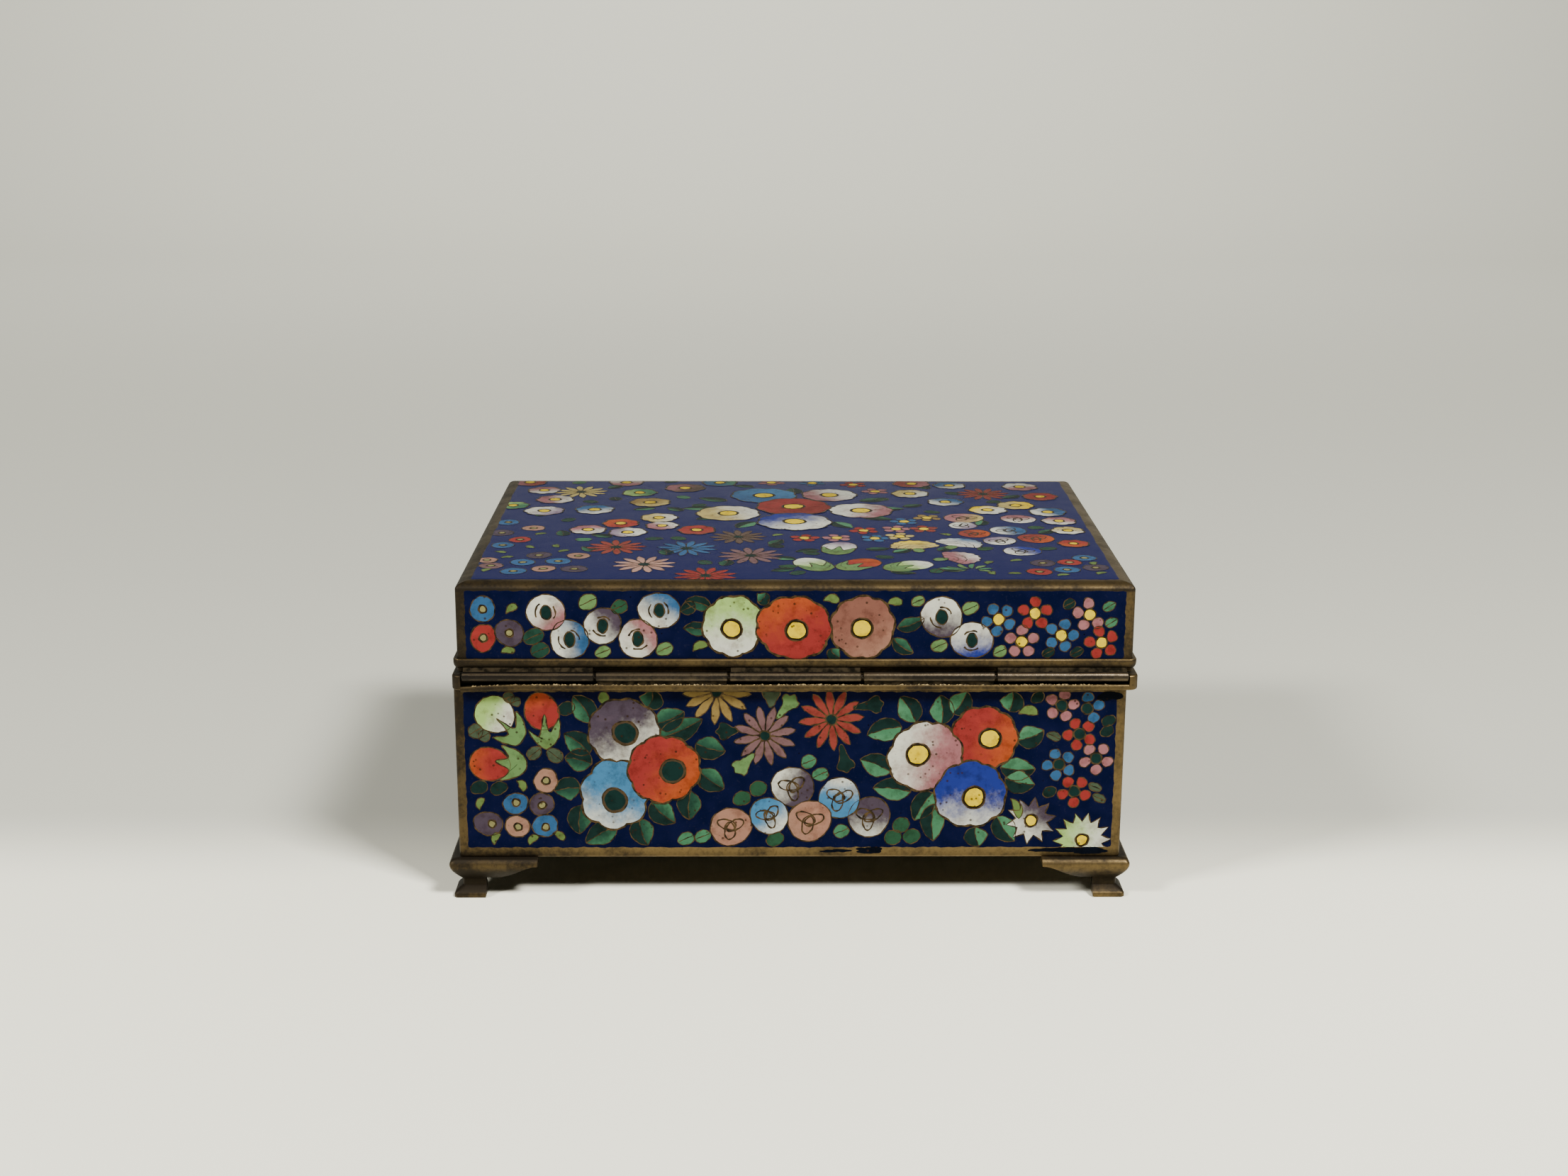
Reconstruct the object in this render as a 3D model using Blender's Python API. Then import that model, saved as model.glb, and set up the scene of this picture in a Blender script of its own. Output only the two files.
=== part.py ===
"""A rectangular cloisonne enamel box with a hinged lid, on four bracket feet.

Sizes are in metres and +Z is up. The origin is on the floor, under the middle of the whole box.
The hinge runs along the back, on the -Y side, and the lid opens towards -Y.
The lid, the base rim and the hinge sit a little towards +X on the base, as they were assembled.
"""

import math

import bmesh
import bpy
import numpy as np

# Overall sizes of the box body and of the sheet metal that it is made of
BODY_LENGTH = 0.110
BODY_DEPTH = 0.080
BASE_HEIGHT = 0.0289
LID_HEIGHT = 0.01485
SHEET = 0.0009
FLOOR = 0.0012
CORNER_RADIUS = 0.0006
TIGHTEST_CORNER = 0.0001
LID_SHIFT = 0.00075
FIT_GAP = 0.0003

# Enamel panels and the brass borders that frame them
ENAMEL = 0.0008
BORDER_WIDTH = 0.00155
BASE_BORDER_LOW = 0.0014
BASE_BORDER_TOP = 0.0004
LID_BORDER_TOP = 0.0013
LID_EDGE_RADIUS = 0.0009
TOP_CROWN = 0.0003

# Rim of the base, and moulding round the foot of the lid
RIM_OVERHANG = 0.00085
RIM_EDGE_RADIUS = 0.0003
LEDGE_OVERHANG = 0.0016
LEDGE_HEIGHT = 0.00095
MOULDING_OVERHANG = 0.00065
MOULDING_FILLET = 0.00055
MOULDING_ROLL = 0.0011
MOULDING_BAND = 0.0005

# Hinge: five knuckles on one pin
BARREL_RADIUS = 0.0008
BORE_RADIUS = 0.00042
PIN_RADIUS = 0.00035
PIN_PROUD = 0.00025
HINGE_INSET = 0.0009
KNUCKLE_GAP = 0.0004
KNUCKLES = 5
WEB_HEIGHT = 0.0005
WEB_WIDTH = 0.0008

# Bracket feet, with reaches measured from the body's corner along each side
FOOT_HEIGHT = 0.0069
FOOT_SHOULDER = 0.0009
FOOT_SHOULDER_INSET = 0.0005
FOOT_BULGE = 0.0016
FOOT_NECK_TOP = 0.0029
FOOT_NECK_LOW = 0.0018
FOOT_NECK_INSET = 0.0003
FOOT_PAD_HEIGHT = 0.0005
FOOT_PAD_FLARE = 0.0010
FOOT_BACK = 0.0016
FOOT_CORNER_RADIUS = 0.0007
BRACKET_REACH = 0.0130
BRACKET_TIP_HEIGHT = 0.0057
SOFFIT_REACH = 0.0060
LEG_TOP_HEIGHT = 0.0033
LEG_REACH = 0.0043

# Steps that round shapes are made with
CORNER_STEPS = 3
ROLL_STEPS = 5
BARREL_STEPS = 24
CROWN_STEPS = (12, 8)
SOFFIT_STEPS = 7
FLARE_STEPS = 3

# Walls, heights and the hinge axis, worked out from the sizes above
WALL = SHEET + FIT_GAP + ENAMEL
RECESS = WALL - SHEET
HALF_LENGTH = BODY_LENGTH / 2
HALF_DEPTH = BODY_DEPTH / 2
BASE_BOTTOM = FOOT_HEIGHT + FIT_GAP
BASE_TOP = BASE_BOTTOM + BASE_HEIGHT
RIM_BOTTOM = BASE_TOP + FIT_GAP
LEDGE_TOP = RIM_BOTTOM + LEDGE_HEIGHT
AXIS_HEIGHT = LEDGE_TOP + WEB_HEIGHT + BARREL_RADIUS
ROLL_BOTTOM = AXIS_HEIGHT + BARREL_RADIUS + FIT_GAP
LID_BOTTOM = ROLL_BOTTOM - MOULDING_FILLET
RIM_TOP = LID_BOTTOM - FIT_GAP
MOULDING_TOP = ROLL_BOTTOM + MOULDING_ROLL + MOULDING_BAND
LID_TOP = LID_BOTTOM + LID_HEIGHT

# The origin is under the middle of everything, so the body stands a little to one side of it
BACK_REACH = max(FIT_GAP + 2 * BARREL_RADIUS, LEDGE_OVERHANG, FOOT_BULGE)
FRONT_REACH = max(RIM_OVERHANG, FOOT_BULGE)
LEFT_REACH = max(RIM_OVERHANG - LID_SHIFT, FOOT_BULGE)
RIGHT_REACH = max(RIM_OVERHANG + LID_SHIFT, FOOT_BULGE)
BASE_MIDDLE = np.array([(LEFT_REACH - RIGHT_REACH) / 2, (BACK_REACH - FRONT_REACH) / 2])
LID_MIDDLE = BASE_MIDDLE + np.array([LID_SHIFT, 0.0])
AXIS_Y = LID_MIDDLE[1] - HALF_DEPTH - FIT_GAP - BARREL_RADIUS

BRASS = ((0.46, 0.34, 0.14), 0.36, 1.0)
DARK_BRASS = ((0.30, 0.22, 0.10), 0.42, 1.0)
BLUE_ENAMEL = ((0.010, 0.016, 0.085), 0.12, 0.0)


def finish(name, look):
    """A Principled material from a colour, a roughness and a metallic value."""
    colour, roughness, metallic = look
    material = bpy.data.materials.new(name)
    material.use_nodes = True
    shader = material.node_tree.nodes["Principled BSDF"]
    shader.inputs["Base Color"].default_value = (*colour, 1.0)
    shader.inputs["Roughness"].default_value = roughness
    shader.inputs["Metallic"].default_value = metallic
    return material


def add_object(name, mesh, look=BRASS, parent=None, smooth_angle=40):
    """Put a bmesh into the scene as a named object, smooth except across sharp edges."""
    bmesh.ops.recalc_face_normals(mesh, faces=mesh.faces)
    data = bpy.data.meshes.new(name)
    mesh.to_mesh(data)
    mesh.free()
    data.shade_smooth()
    data.set_sharp_from_angle(angle=math.radians(smooth_angle))
    data.materials.append(finish(name, look))
    thing = bpy.data.objects.new(name, data)
    bpy.context.collection.objects.link(thing)
    if parent:
        thing.parent = parent
        thing.matrix_parent_inverse = parent.matrix_world.inverted()
    return thing


def rounded_rectangle(half_x, half_y, radius, middle):
    """Points of a rectangle with round corners, anticlockwise from above."""
    turns = np.linspace(0, math.pi / 2, CORNER_STEPS + 1)
    points = []
    for corner, (side_x, side_y) in enumerate(((1, 1), (-1, 1), (-1, -1), (1, -1))):
        angles = turns + corner * math.pi / 2
        centre = np.array(middle) + (side_x * (half_x - radius), side_y * (half_y - radius))
        points.append(centre + radius * np.column_stack([np.cos(angles), np.sin(angles)]))
    return np.vstack(points)


def level_rings(half_x, half_y, radius, middle, profile):
    """One closed ring for each (outward offset, height) step of a profile carried round a rectangle.

    The corners' radius grows and shrinks with the offset, down to TIGHTEST_CORNER.
    """
    rings = []
    for offset, height in profile:
        bend = max(radius + offset, TIGHTEST_CORNER)
        flat = rounded_rectangle(half_x + offset, half_y + offset, bend, middle)
        rings.append(np.column_stack([flat, np.full(len(flat), height)]))
    return rings


def stack(rings, closed=False):
    """Join rings of equal length into a skin, capped at both ends or closed into a ring of its own."""
    mesh = bmesh.new()
    rows = [[mesh.verts.new(point) for point in ring] for ring in rings]
    pairs = list(zip(rows, rows[1:]))
    if closed:
        pairs.append((rows[-1], rows[0]))
    else:
        mesh.faces.new(rows[0])
        mesh.faces.new(rows[-1])
    count = len(rows[0])
    for lower, upper in pairs:
        for i in range(count):
            j = (i + 1) % count
            mesh.faces.new((lower[i], lower[j], upper[j], upper[i]))
    return mesh


def arc(centre, radii, start, end, steps):
    """Points of an elliptical arc in the (offset, height) plane, from one angle to another in degrees."""
    angles = np.radians(np.linspace(start, end, steps + 1))
    return [(centre[0] + radii[0] * math.cos(a), centre[1] + radii[1] * math.sin(a)) for a in angles]


def block(low, high):
    """A plain rectangular bmesh between two corners."""
    mesh = bmesh.new()
    bmesh.ops.create_cube(mesh, size=1.0)
    low, high = np.array(low), np.array(high)
    for vert in mesh.verts:
        vert.co = (low + high) / 2 + np.array(vert.co) * (high - low)
    return mesh


def combine(target, mesh, name, operation):
    """Cut a bmesh out of an object, or join it on, with a live Boolean modifier."""
    guide = add_object(name, mesh, parent=target.parent)
    guide.location = target.location
    guide.hide_render = True
    guide.display_type = "WIRE"
    boolean = target.modifiers.new(name, "BOOLEAN")
    boolean.operation = operation
    boolean.solver = "EXACT"
    boolean.object = guide


def carve(target, mesh, name):
    """Cut a bmesh out of an object."""
    combine(target, mesh, name, "DIFFERENCE")


def side_panels(middle, low, high, inner, outer, end_margin):
    """Corners of four upright slabs in the sides of the box, by side name.

    inner and outer are distances inside and outside the body's face.
    """
    x, y = middle
    long_reach = HALF_LENGTH - end_margin
    short_reach = HALF_DEPTH - end_margin
    back, front = y - HALF_DEPTH, y + HALF_DEPTH
    left, right = x - HALF_LENGTH, x + HALF_LENGTH
    return {
        "back": ((x - long_reach, back - outer, low), (x + long_reach, back + inner, high)),
        "front": ((x - long_reach, front - inner, low), (x + long_reach, front + outer, high)),
        "left": ((left - outer, y - short_reach, low), (left + inner, y + short_reach, high)),
        "right": ((right - inner, y - short_reach, low), (right + outer, y + short_reach, high)),
    }


def make_base_tray():
    """The open metal tray, with a shallow bed in each side for its enamel."""
    profile = [
        (-RIM_EDGE_RADIUS, BASE_BOTTOM),
        (0, BASE_BOTTOM + RIM_EDGE_RADIUS),
        (0, BASE_TOP),
    ]
    rings = level_rings(HALF_LENGTH, HALF_DEPTH, CORNER_RADIUS, BASE_MIDDLE, profile)
    tray = add_object("base_tray", stack(rings))
    x, y = BASE_MIDDLE
    hollow = block(
        (x - HALF_LENGTH + WALL, y - HALF_DEPTH + WALL, BASE_BOTTOM + FLOOR),
        (x + HALF_LENGTH - WALL, y + HALF_DEPTH - WALL, BASE_TOP + WALL),
    )
    carve(tray, hollow, "base_hollow_cutter")
    low, high = BASE_BOTTOM + BASE_BORDER_LOW, BASE_TOP - BASE_BORDER_TOP
    beds = side_panels(BASE_MIDDLE, low, high, RECESS, WALL, BORDER_WIDTH)
    for side, corners in beds.items():
        carve(tray, block(*corners), f"base_bed_{side}_cutter")
    slabs = side_panels(
        BASE_MIDDLE, low + FIT_GAP, high - FIT_GAP, ENAMEL, 0, BORDER_WIDTH + FIT_GAP
    )
    for side, corners in slabs.items():
        add_object(f"base_enamel_{side}", block(*corners), BLUE_ENAMEL)


def make_base_rim():
    """The brass frame on the tray, cut down to a ledge where the hinge lies."""
    x, y = LID_MIDDLE
    deeper_back = (LEDGE_OVERHANG - RIM_OVERHANG) / 2
    profile = [
        (RIM_OVERHANG - RIM_EDGE_RADIUS, RIM_BOTTOM),
        (RIM_OVERHANG, RIM_BOTTOM + RIM_EDGE_RADIUS),
        (RIM_OVERHANG, RIM_TOP - RIM_EDGE_RADIUS),
        (RIM_OVERHANG - RIM_EDGE_RADIUS, RIM_TOP),
    ]
    rings = level_rings(
        HALF_LENGTH, HALF_DEPTH + deeper_back, CORNER_RADIUS, (x, y - deeper_back), profile
    )
    rim = add_object("base_rim", stack(rings))
    opening = block(
        (x - HALF_LENGTH + WALL, y - HALF_DEPTH + WALL, RIM_BOTTOM - WALL),
        (x + HALF_LENGTH - WALL, y + HALF_DEPTH - WALL, RIM_TOP + WALL),
    )
    carve(rim, opening, "rim_opening_cutter")
    half_notch = HALF_LENGTH - HINGE_INSET + PIN_PROUD + FIT_GAP
    back_face = y - HALF_DEPTH
    notch_back = back_face - 2 * LEDGE_OVERHANG
    lip = back_face - LEDGE_OVERHANG
    # The notch's section leaves the ledge's outer edge with a small chamfer
    section = [
        (back_face, LEDGE_TOP),
        (lip + RIM_EDGE_RADIUS, LEDGE_TOP),
        (notch_back, LEDGE_TOP - (lip + RIM_EDGE_RADIUS - notch_back)),
        (notch_back, RIM_TOP + LEDGE_HEIGHT),
        (back_face, RIM_TOP + LEDGE_HEIGHT),
    ]
    notch = stack([[(x + side * half_notch, *point) for point in section] for side in (-1, 1)])
    carve(rim, notch, "hinge_notch_cutter")


def make_lid(hinge):
    """The metal lid with its beds, its enamel panels and the moulding round its foot."""
    plan = (HALF_LENGTH, HALF_DEPTH, CORNER_RADIUS, LID_MIDDLE)
    sill = MOULDING_TOP + FIT_GAP
    profile = [(-RECESS, LID_BOTTOM), (-RECESS, sill), (0, sill)]
    edge = (-LID_EDGE_RADIUS, LID_TOP - LID_EDGE_RADIUS)
    profile += arc(edge, (LID_EDGE_RADIUS, LID_EDGE_RADIUS), 0, 90, ROLL_STEPS)
    shell = add_object("lid_shell", stack(level_rings(*plan, profile)), parent=hinge)
    x, y = LID_MIDDLE
    hollow = block(
        (x - HALF_LENGTH + WALL, y - HALF_DEPTH + WALL, LID_BOTTOM - WALL),
        (x + HALF_LENGTH - WALL, y + HALF_DEPTH - WALL, LID_TOP - WALL),
    )
    carve(shell, hollow, "lid_hollow_cutter")
    high = LID_TOP - LID_BORDER_TOP
    beds = side_panels(LID_MIDDLE, MOULDING_TOP, high, RECESS, WALL, BORDER_WIDTH)
    for side, corners in beds.items():
        carve(shell, block(*corners), f"lid_bed_{side}_cutter")
    reach = np.array([HALF_LENGTH - BORDER_WIDTH, HALF_DEPTH - BORDER_WIDTH])
    top_bed = block(
        (*(LID_MIDDLE - reach), LID_TOP - RECESS),
        (*(LID_MIDDLE + reach), LID_TOP + WALL),
    )
    carve(shell, top_bed, "lid_bed_top_cutter")

    slabs = side_panels(
        LID_MIDDLE, sill, high - FIT_GAP, ENAMEL, 0, BORDER_WIDTH + FIT_GAP
    )
    for side, corners in slabs.items():
        add_object(f"lid_enamel_{side}", block(*corners), BLUE_ENAMEL, hinge)
    make_top_panel(reach - FIT_GAP, hinge)

    section = [
        (FIT_GAP - RECESS, LID_BOTTOM),
        (0, LID_BOTTOM),
        (0, ROLL_BOTTOM),
    ]
    roll = (0, ROLL_BOTTOM + MOULDING_ROLL)
    section += arc(roll, (MOULDING_OVERHANG, MOULDING_ROLL), -60, 0, ROLL_STEPS)
    section += [(MOULDING_OVERHANG, MOULDING_TOP), (FIT_GAP - RECESS, MOULDING_TOP)]
    rings = level_rings(*plan, section)
    add_object("lid_moulding", stack(rings, closed=True), parent=hinge)


def make_top_panel(reach, hinge):
    """The slab of enamel on top of the lid, crowned by the product of two parabolas."""
    across, along = CROWN_STEPS
    mesh = bmesh.new()
    bmesh.ops.create_grid(mesh, x_segments=across, y_segments=along, size=1.0)
    for vert in mesh.verts:
        s, t = vert.co.x, vert.co.y
        x, y = LID_MIDDLE + reach * (s, t)
        vert.co = (x, y, LID_TOP + TOP_CROWN * (1 - s * s) * (1 - t * t))
    border = [edge for edge in mesh.edges if edge.is_boundary]
    grown = bmesh.ops.extrude_edge_only(mesh, edges=border)["geom"]
    for item in grown:
        if isinstance(item, bmesh.types.BMVert):
            item.co.z = LID_TOP - ENAMEL
    bmesh.ops.contextual_create(mesh, geom=[edge for edge in mesh.edges if edge.is_boundary])
    add_object("lid_enamel_top", mesh, BLUE_ENAMEL, hinge)


def barrel_ring(radius, x):
    """Points of one round end of a knuckle, its bore or the pin, about the hinge's axis."""
    angles = np.arange(BARREL_STEPS) * 2 * math.pi / BARREL_STEPS
    y, z = radius * np.cos(angles), radius * np.sin(angles)
    return np.column_stack([np.full(BARREL_STEPS, x), y, z])


def make_hinge(hinge):
    """Five knuckles in line on one pin: the odd ones on the lid, the even ones on the ledge."""
    length = BODY_LENGTH - 2 * HINGE_INSET
    knuckle = (length - (KNUCKLES - 1) * KNUCKLE_GAP) / KNUCKLES
    for number in range(1, KNUCKLES + 1):
        start = -length / 2 + (number - 1) * (knuckle + KNUCKLE_GAP)
        ends = (start, start + knuckle)
        name = f"hinge_knuckle_{number}"
        barrel = stack([barrel_ring(BARREL_RADIUS, x) for x in ends])
        on_lid = number % 2 == 1
        tube = add_object(name, barrel, DARK_BRASS, hinge if on_lid else None)
        tube.location = hinge.location
        if not on_lid:
            web = block(
                (ends[0], -WEB_WIDTH / 2, FIT_GAP - WEB_HEIGHT - BARREL_RADIUS),
                (ends[1], WEB_WIDTH / 2, -BORE_RADIUS),
            )
            combine(tube, web, f"{name}_web_guide", "UNION")
        bore = stack([barrel_ring(BORE_RADIUS, x) for x in (ends[0] - WALL, ends[1] + WALL)])
        carve(tube, bore, f"{name}_bore_cutter")
    half_pin = length / 2 + PIN_PROUD
    rod = stack([barrel_ring(PIN_RADIUS, x) for x in (-half_pin, half_pin)])
    pin = add_object("hinge_pin", rod, DARK_BRASS)
    pin.location = hinge.location


def foot_section(height):
    """How far a foot stands out from the body's face at a height: shoulder, bulge, neck and flared pad."""
    bulge_height = FOOT_HEIGHT - FOOT_SHOULDER
    if height >= bulge_height:
        rise = (height - bulge_height) / FOOT_SHOULDER
        return FOOT_BULGE - FOOT_SHOULDER_INSET * rise * rise
    if height >= FOOT_NECK_TOP:
        share = (bulge_height - height) / (bulge_height - FOOT_NECK_TOP)
        return (FOOT_BULGE + FOOT_NECK_INSET) * math.cos(math.pi / 2 * share) - FOOT_NECK_INSET
    if height >= FOOT_NECK_LOW:
        return -FOOT_NECK_INSET
    share = min((FOOT_NECK_LOW - height) / (FOOT_NECK_LOW - FOOT_PAD_HEIGHT), 1.0)
    return (FOOT_PAD_FLARE + FOOT_NECK_INSET) * math.sin(math.pi / 2 * share) - FOOT_NECK_INSET


def foot_levels():
    """(height, reach) steps from the top of a foot down its bracket's soffit and its leg to the floor."""
    bulge_height = FOOT_HEIGHT - FOOT_SHOULDER
    heights = [FOOT_HEIGHT, (FOOT_HEIGHT + bulge_height) / 2, bulge_height]
    levels = [(height, BRACKET_REACH) for height in heights]
    # The soffit is half a cosine wave from the bracket's tip, then level to the leg
    for share in np.linspace(0, 1, SOFFIT_STEPS + 1):
        drop = (1 - math.cos(math.pi * share)) / 2
        height = BRACKET_TIP_HEIGHT - (BRACKET_TIP_HEIGHT - LEG_TOP_HEIGHT) * drop
        levels.append((height, BRACKET_REACH - (BRACKET_REACH - SOFFIT_REACH) * share))
    levels += [(LEG_TOP_HEIGHT, LEG_REACH), (FOOT_NECK_TOP, LEG_REACH)]
    flare = np.linspace(FOOT_NECK_LOW, FOOT_PAD_HEIGHT, FLARE_STEPS + 1)
    levels += [(height, LEG_REACH) for height in flare]
    levels.append((0.0, LEG_REACH))
    return levels


def foot_ring(height, reach, mirror, corner):
    """One level of a foot: an L that wraps the body's corner, with its outer corner rounded."""
    out = foot_section(height)
    radius = FOOT_CORNER_RADIUS
    turns = np.linspace(0, math.pi / 2, CORNER_STEPS + 1)
    round_part = [(out - radius * (1 - math.cos(a)), out - radius * (1 - math.sin(a))) for a in turns]
    section = [(out, -reach), *round_part, (-reach, out)]
    section += [(-reach, -FOOT_BACK), (-FOOT_BACK, -FOOT_BACK), (-FOOT_BACK, -reach)]
    flat = np.array(section) * mirror + corner
    return np.column_stack([flat, np.full(len(flat), height)])


def make_feet():
    """Four feet, each one bracket mirrored to its own corner."""
    for name, mirror in (
        ("foot_back_left", (-1, -1)),
        ("foot_back_right", (1, -1)),
        ("foot_front_left", (-1, 1)),
        ("foot_front_right", (1, 1)),
    ):
        mirror = np.array(mirror)
        corner = BASE_MIDDLE + mirror * (HALF_LENGTH, HALF_DEPTH)
        rings = [foot_ring(height, reach, mirror, corner) for height, reach in foot_levels()]
        add_object(name, stack(rings), smooth_angle=50)


def main():
    for thing in list(bpy.data.objects):
        bpy.data.objects.remove(thing)
    hinge = bpy.data.objects.new("lid_hinge_axis", None)
    bpy.context.collection.objects.link(hinge)
    hinge.location = (LID_MIDDLE[0], AXIS_Y, AXIS_HEIGHT)
    bpy.context.view_layer.update()
    make_base_tray()
    make_base_rim()
    make_feet()
    make_hinge(hinge)
    make_lid(hinge)


main()
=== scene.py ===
import math

import bmesh
import bpy
import numpy as np
from mathutils import Matrix, Vector


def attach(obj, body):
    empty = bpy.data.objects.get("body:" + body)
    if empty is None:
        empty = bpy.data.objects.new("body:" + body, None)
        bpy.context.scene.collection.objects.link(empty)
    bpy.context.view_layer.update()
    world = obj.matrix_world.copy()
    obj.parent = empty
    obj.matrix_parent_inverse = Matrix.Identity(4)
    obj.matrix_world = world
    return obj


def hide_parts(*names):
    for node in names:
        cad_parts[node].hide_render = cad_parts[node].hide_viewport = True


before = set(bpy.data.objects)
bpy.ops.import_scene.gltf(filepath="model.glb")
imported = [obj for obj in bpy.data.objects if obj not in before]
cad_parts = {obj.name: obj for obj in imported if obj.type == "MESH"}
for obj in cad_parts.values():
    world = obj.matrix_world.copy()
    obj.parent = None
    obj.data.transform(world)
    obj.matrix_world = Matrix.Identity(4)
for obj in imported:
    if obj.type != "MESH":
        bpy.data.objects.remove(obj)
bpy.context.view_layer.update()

MM, TAU = 0.001, 2 * math.pi

# The view: the box stands on a pale paper sweep, seen from its hinge side and a little from above.
# A soft lamp on the right and a weaker one on the left give its two shadows, and a wide one behind
# lights the back of the paper.
CAMERA_PLACE = (-5.06 * MM, -382.2 * MM, 144.6 * MM)
CAMERA_YAW, CAMERA_PITCH, CAMERA_ROLL = math.radians(-0.654), math.radians(-14.94), math.radians(-0.19)
CAMERA_LENS, CAMERA_SENSOR = 50.47, 36.0
SWEEP_WIDTH, SWEEP_FRONT, SWEEP_BACK, SWEEP_BEND, SWEEP_TOP = 6.0, -3.0, 0.9, 0.5, 1.2
# Painted light and shade on the paper: lighter in front of the box as a pool of light, darker behind it, and
# near black high on the back wall.
NEAR_PAPER_LIT, FAR_PAPER_SHADED, HIGH_PAPER_SHADED = (0.80, 0.775, 0.62), (0.44, 0.432, 0.355), (0.07, 0.07, 0.06)

camera = bpy.data.objects.new("camera", bpy.data.cameras.new("camera"))
camera.data.lens, camera.data.sensor_width = CAMERA_LENS, CAMERA_SENSOR
camera.data.clip_start = 0.01
camera.matrix_world = (
    Matrix.Translation(CAMERA_PLACE)
    @ Matrix.Rotation(CAMERA_YAW, 4, "Z")
    @ Matrix.Rotation(CAMERA_PITCH, 4, "X")
    @ Matrix.Rotation(CAMERA_ROLL, 4, "Y")
    @ Matrix.Rotation(math.pi / 2, 4, "X")
)
bpy.context.collection.objects.link(camera)
bpy.context.scene.camera = camera


def from_faces(name, places, faces, smooth_angle=35, slots=None, **attributes):
    """A mesh object from places and faces, its doubles merged, smooth except over sharper edges."""
    mesh = bpy.data.meshes.new(name)
    mesh.from_pydata(np.asarray(places).tolist(), [], faces)
    if slots is not None:
        mesh.polygons.foreach_set("material_index", np.asarray(slots, np.int32))
    for key, values in attributes.items():
        values = np.asarray(values, np.float32)
        if values.ndim == 2:
            mesh.color_attributes.new(key, "FLOAT_COLOR", "POINT").data.foreach_set("color", values.ravel())
        else:
            mesh.attributes.new(key, "FLOAT", "POINT").data.foreach_set("value", values)
    welder = bmesh.new()
    welder.from_mesh(mesh)
    bmesh.ops.remove_doubles(welder, verts=welder.verts, dist=2e-7)
    welder.to_mesh(mesh)
    welder.free()
    mesh.shade_smooth()
    mesh.set_sharp_from_angle(angle=math.radians(smooth_angle))
    thing = bpy.data.objects.new(name, mesh)
    bpy.context.collection.objects.link(thing)
    return thing


def quads_of(rows, columns, wrap_rows=False, wrap_columns=False):
    """The corner numbers of each cell in a grid of points, one cell for each row and column step."""
    i = np.arange(rows if wrap_rows else rows - 1)[:, None]
    j = np.arange(columns if wrap_columns else columns - 1)[None, :]
    below, beside = (i + 1) % rows, (j + 1) % columns
    corners = [i * columns + j, i * columns + beside, below * columns + beside, below * columns + j]
    return np.stack(np.broadcast_arrays(*corners), -1).reshape(-1, 4)


def skin(name, points, wrap_rows=False, wrap_columns=False, **options):
    """A mesh object from a (rows, columns, 3) grid of points."""
    faces = quads_of(*points.shape[:2], wrap_rows, wrap_columns)
    return from_faces(name, points.reshape(-1, 3), faces.tolist(), **options)


def area_lamp(name, place, size, power, target=(0, 0, 0.02)):
    """A square lamp at a place that faces its target."""
    lamp = bpy.data.objects.new(name, bpy.data.lights.new(name, "AREA"))
    lamp.data.size, lamp.data.energy = size, power
    lamp.location = place
    lamp.rotation_euler = (Vector(target) - Vector(place)).to_track_quat("-Z", "Y").to_euler()
    bpy.context.collection.objects.link(lamp)


area_lamp("right_lamp", (0.471, -0.518, 0.848), 0.24, 27.5)
area_lamp("left_lamp", (-1.125, -0.657, 1.013), 0.32, 34.0, target=(0.15, 0, 0))
area_lamp("back_lamp", (0.0, 0.95, 0.86), 1.00, 15.6, target=(0, 1.90, 0.0))


def upturned(low, high):
    """(place, height) along a strip of paper that bends up through a quarter circle at both ends."""
    turn = np.linspace(0, math.pi / 2, 13)
    rise = SWEEP_BEND * np.column_stack([np.sin(turn), 1 - np.cos(turn)])
    ends = np.array([(low - SWEEP_BEND, SWEEP_TOP)]), np.array([(high + SWEEP_BEND, SWEEP_TOP)])
    return np.vstack([ends[0], (rise * (-1, 1) + (low, 0))[::-1], rise + (high, 0), ends[1]])


across = upturned(-SWEEP_WIDTH / 2, SWEEP_WIDTH / 2)[::-1, None]
along = upturned(SWEEP_FRONT, SWEEP_BACK)[None]
sweep_height = np.maximum(across[..., 1], along[..., 1])
sweep = skin("paper_sweep", np.stack(np.broadcast_arrays(across[..., 0], along[..., 0], sweep_height), -1))


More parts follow.
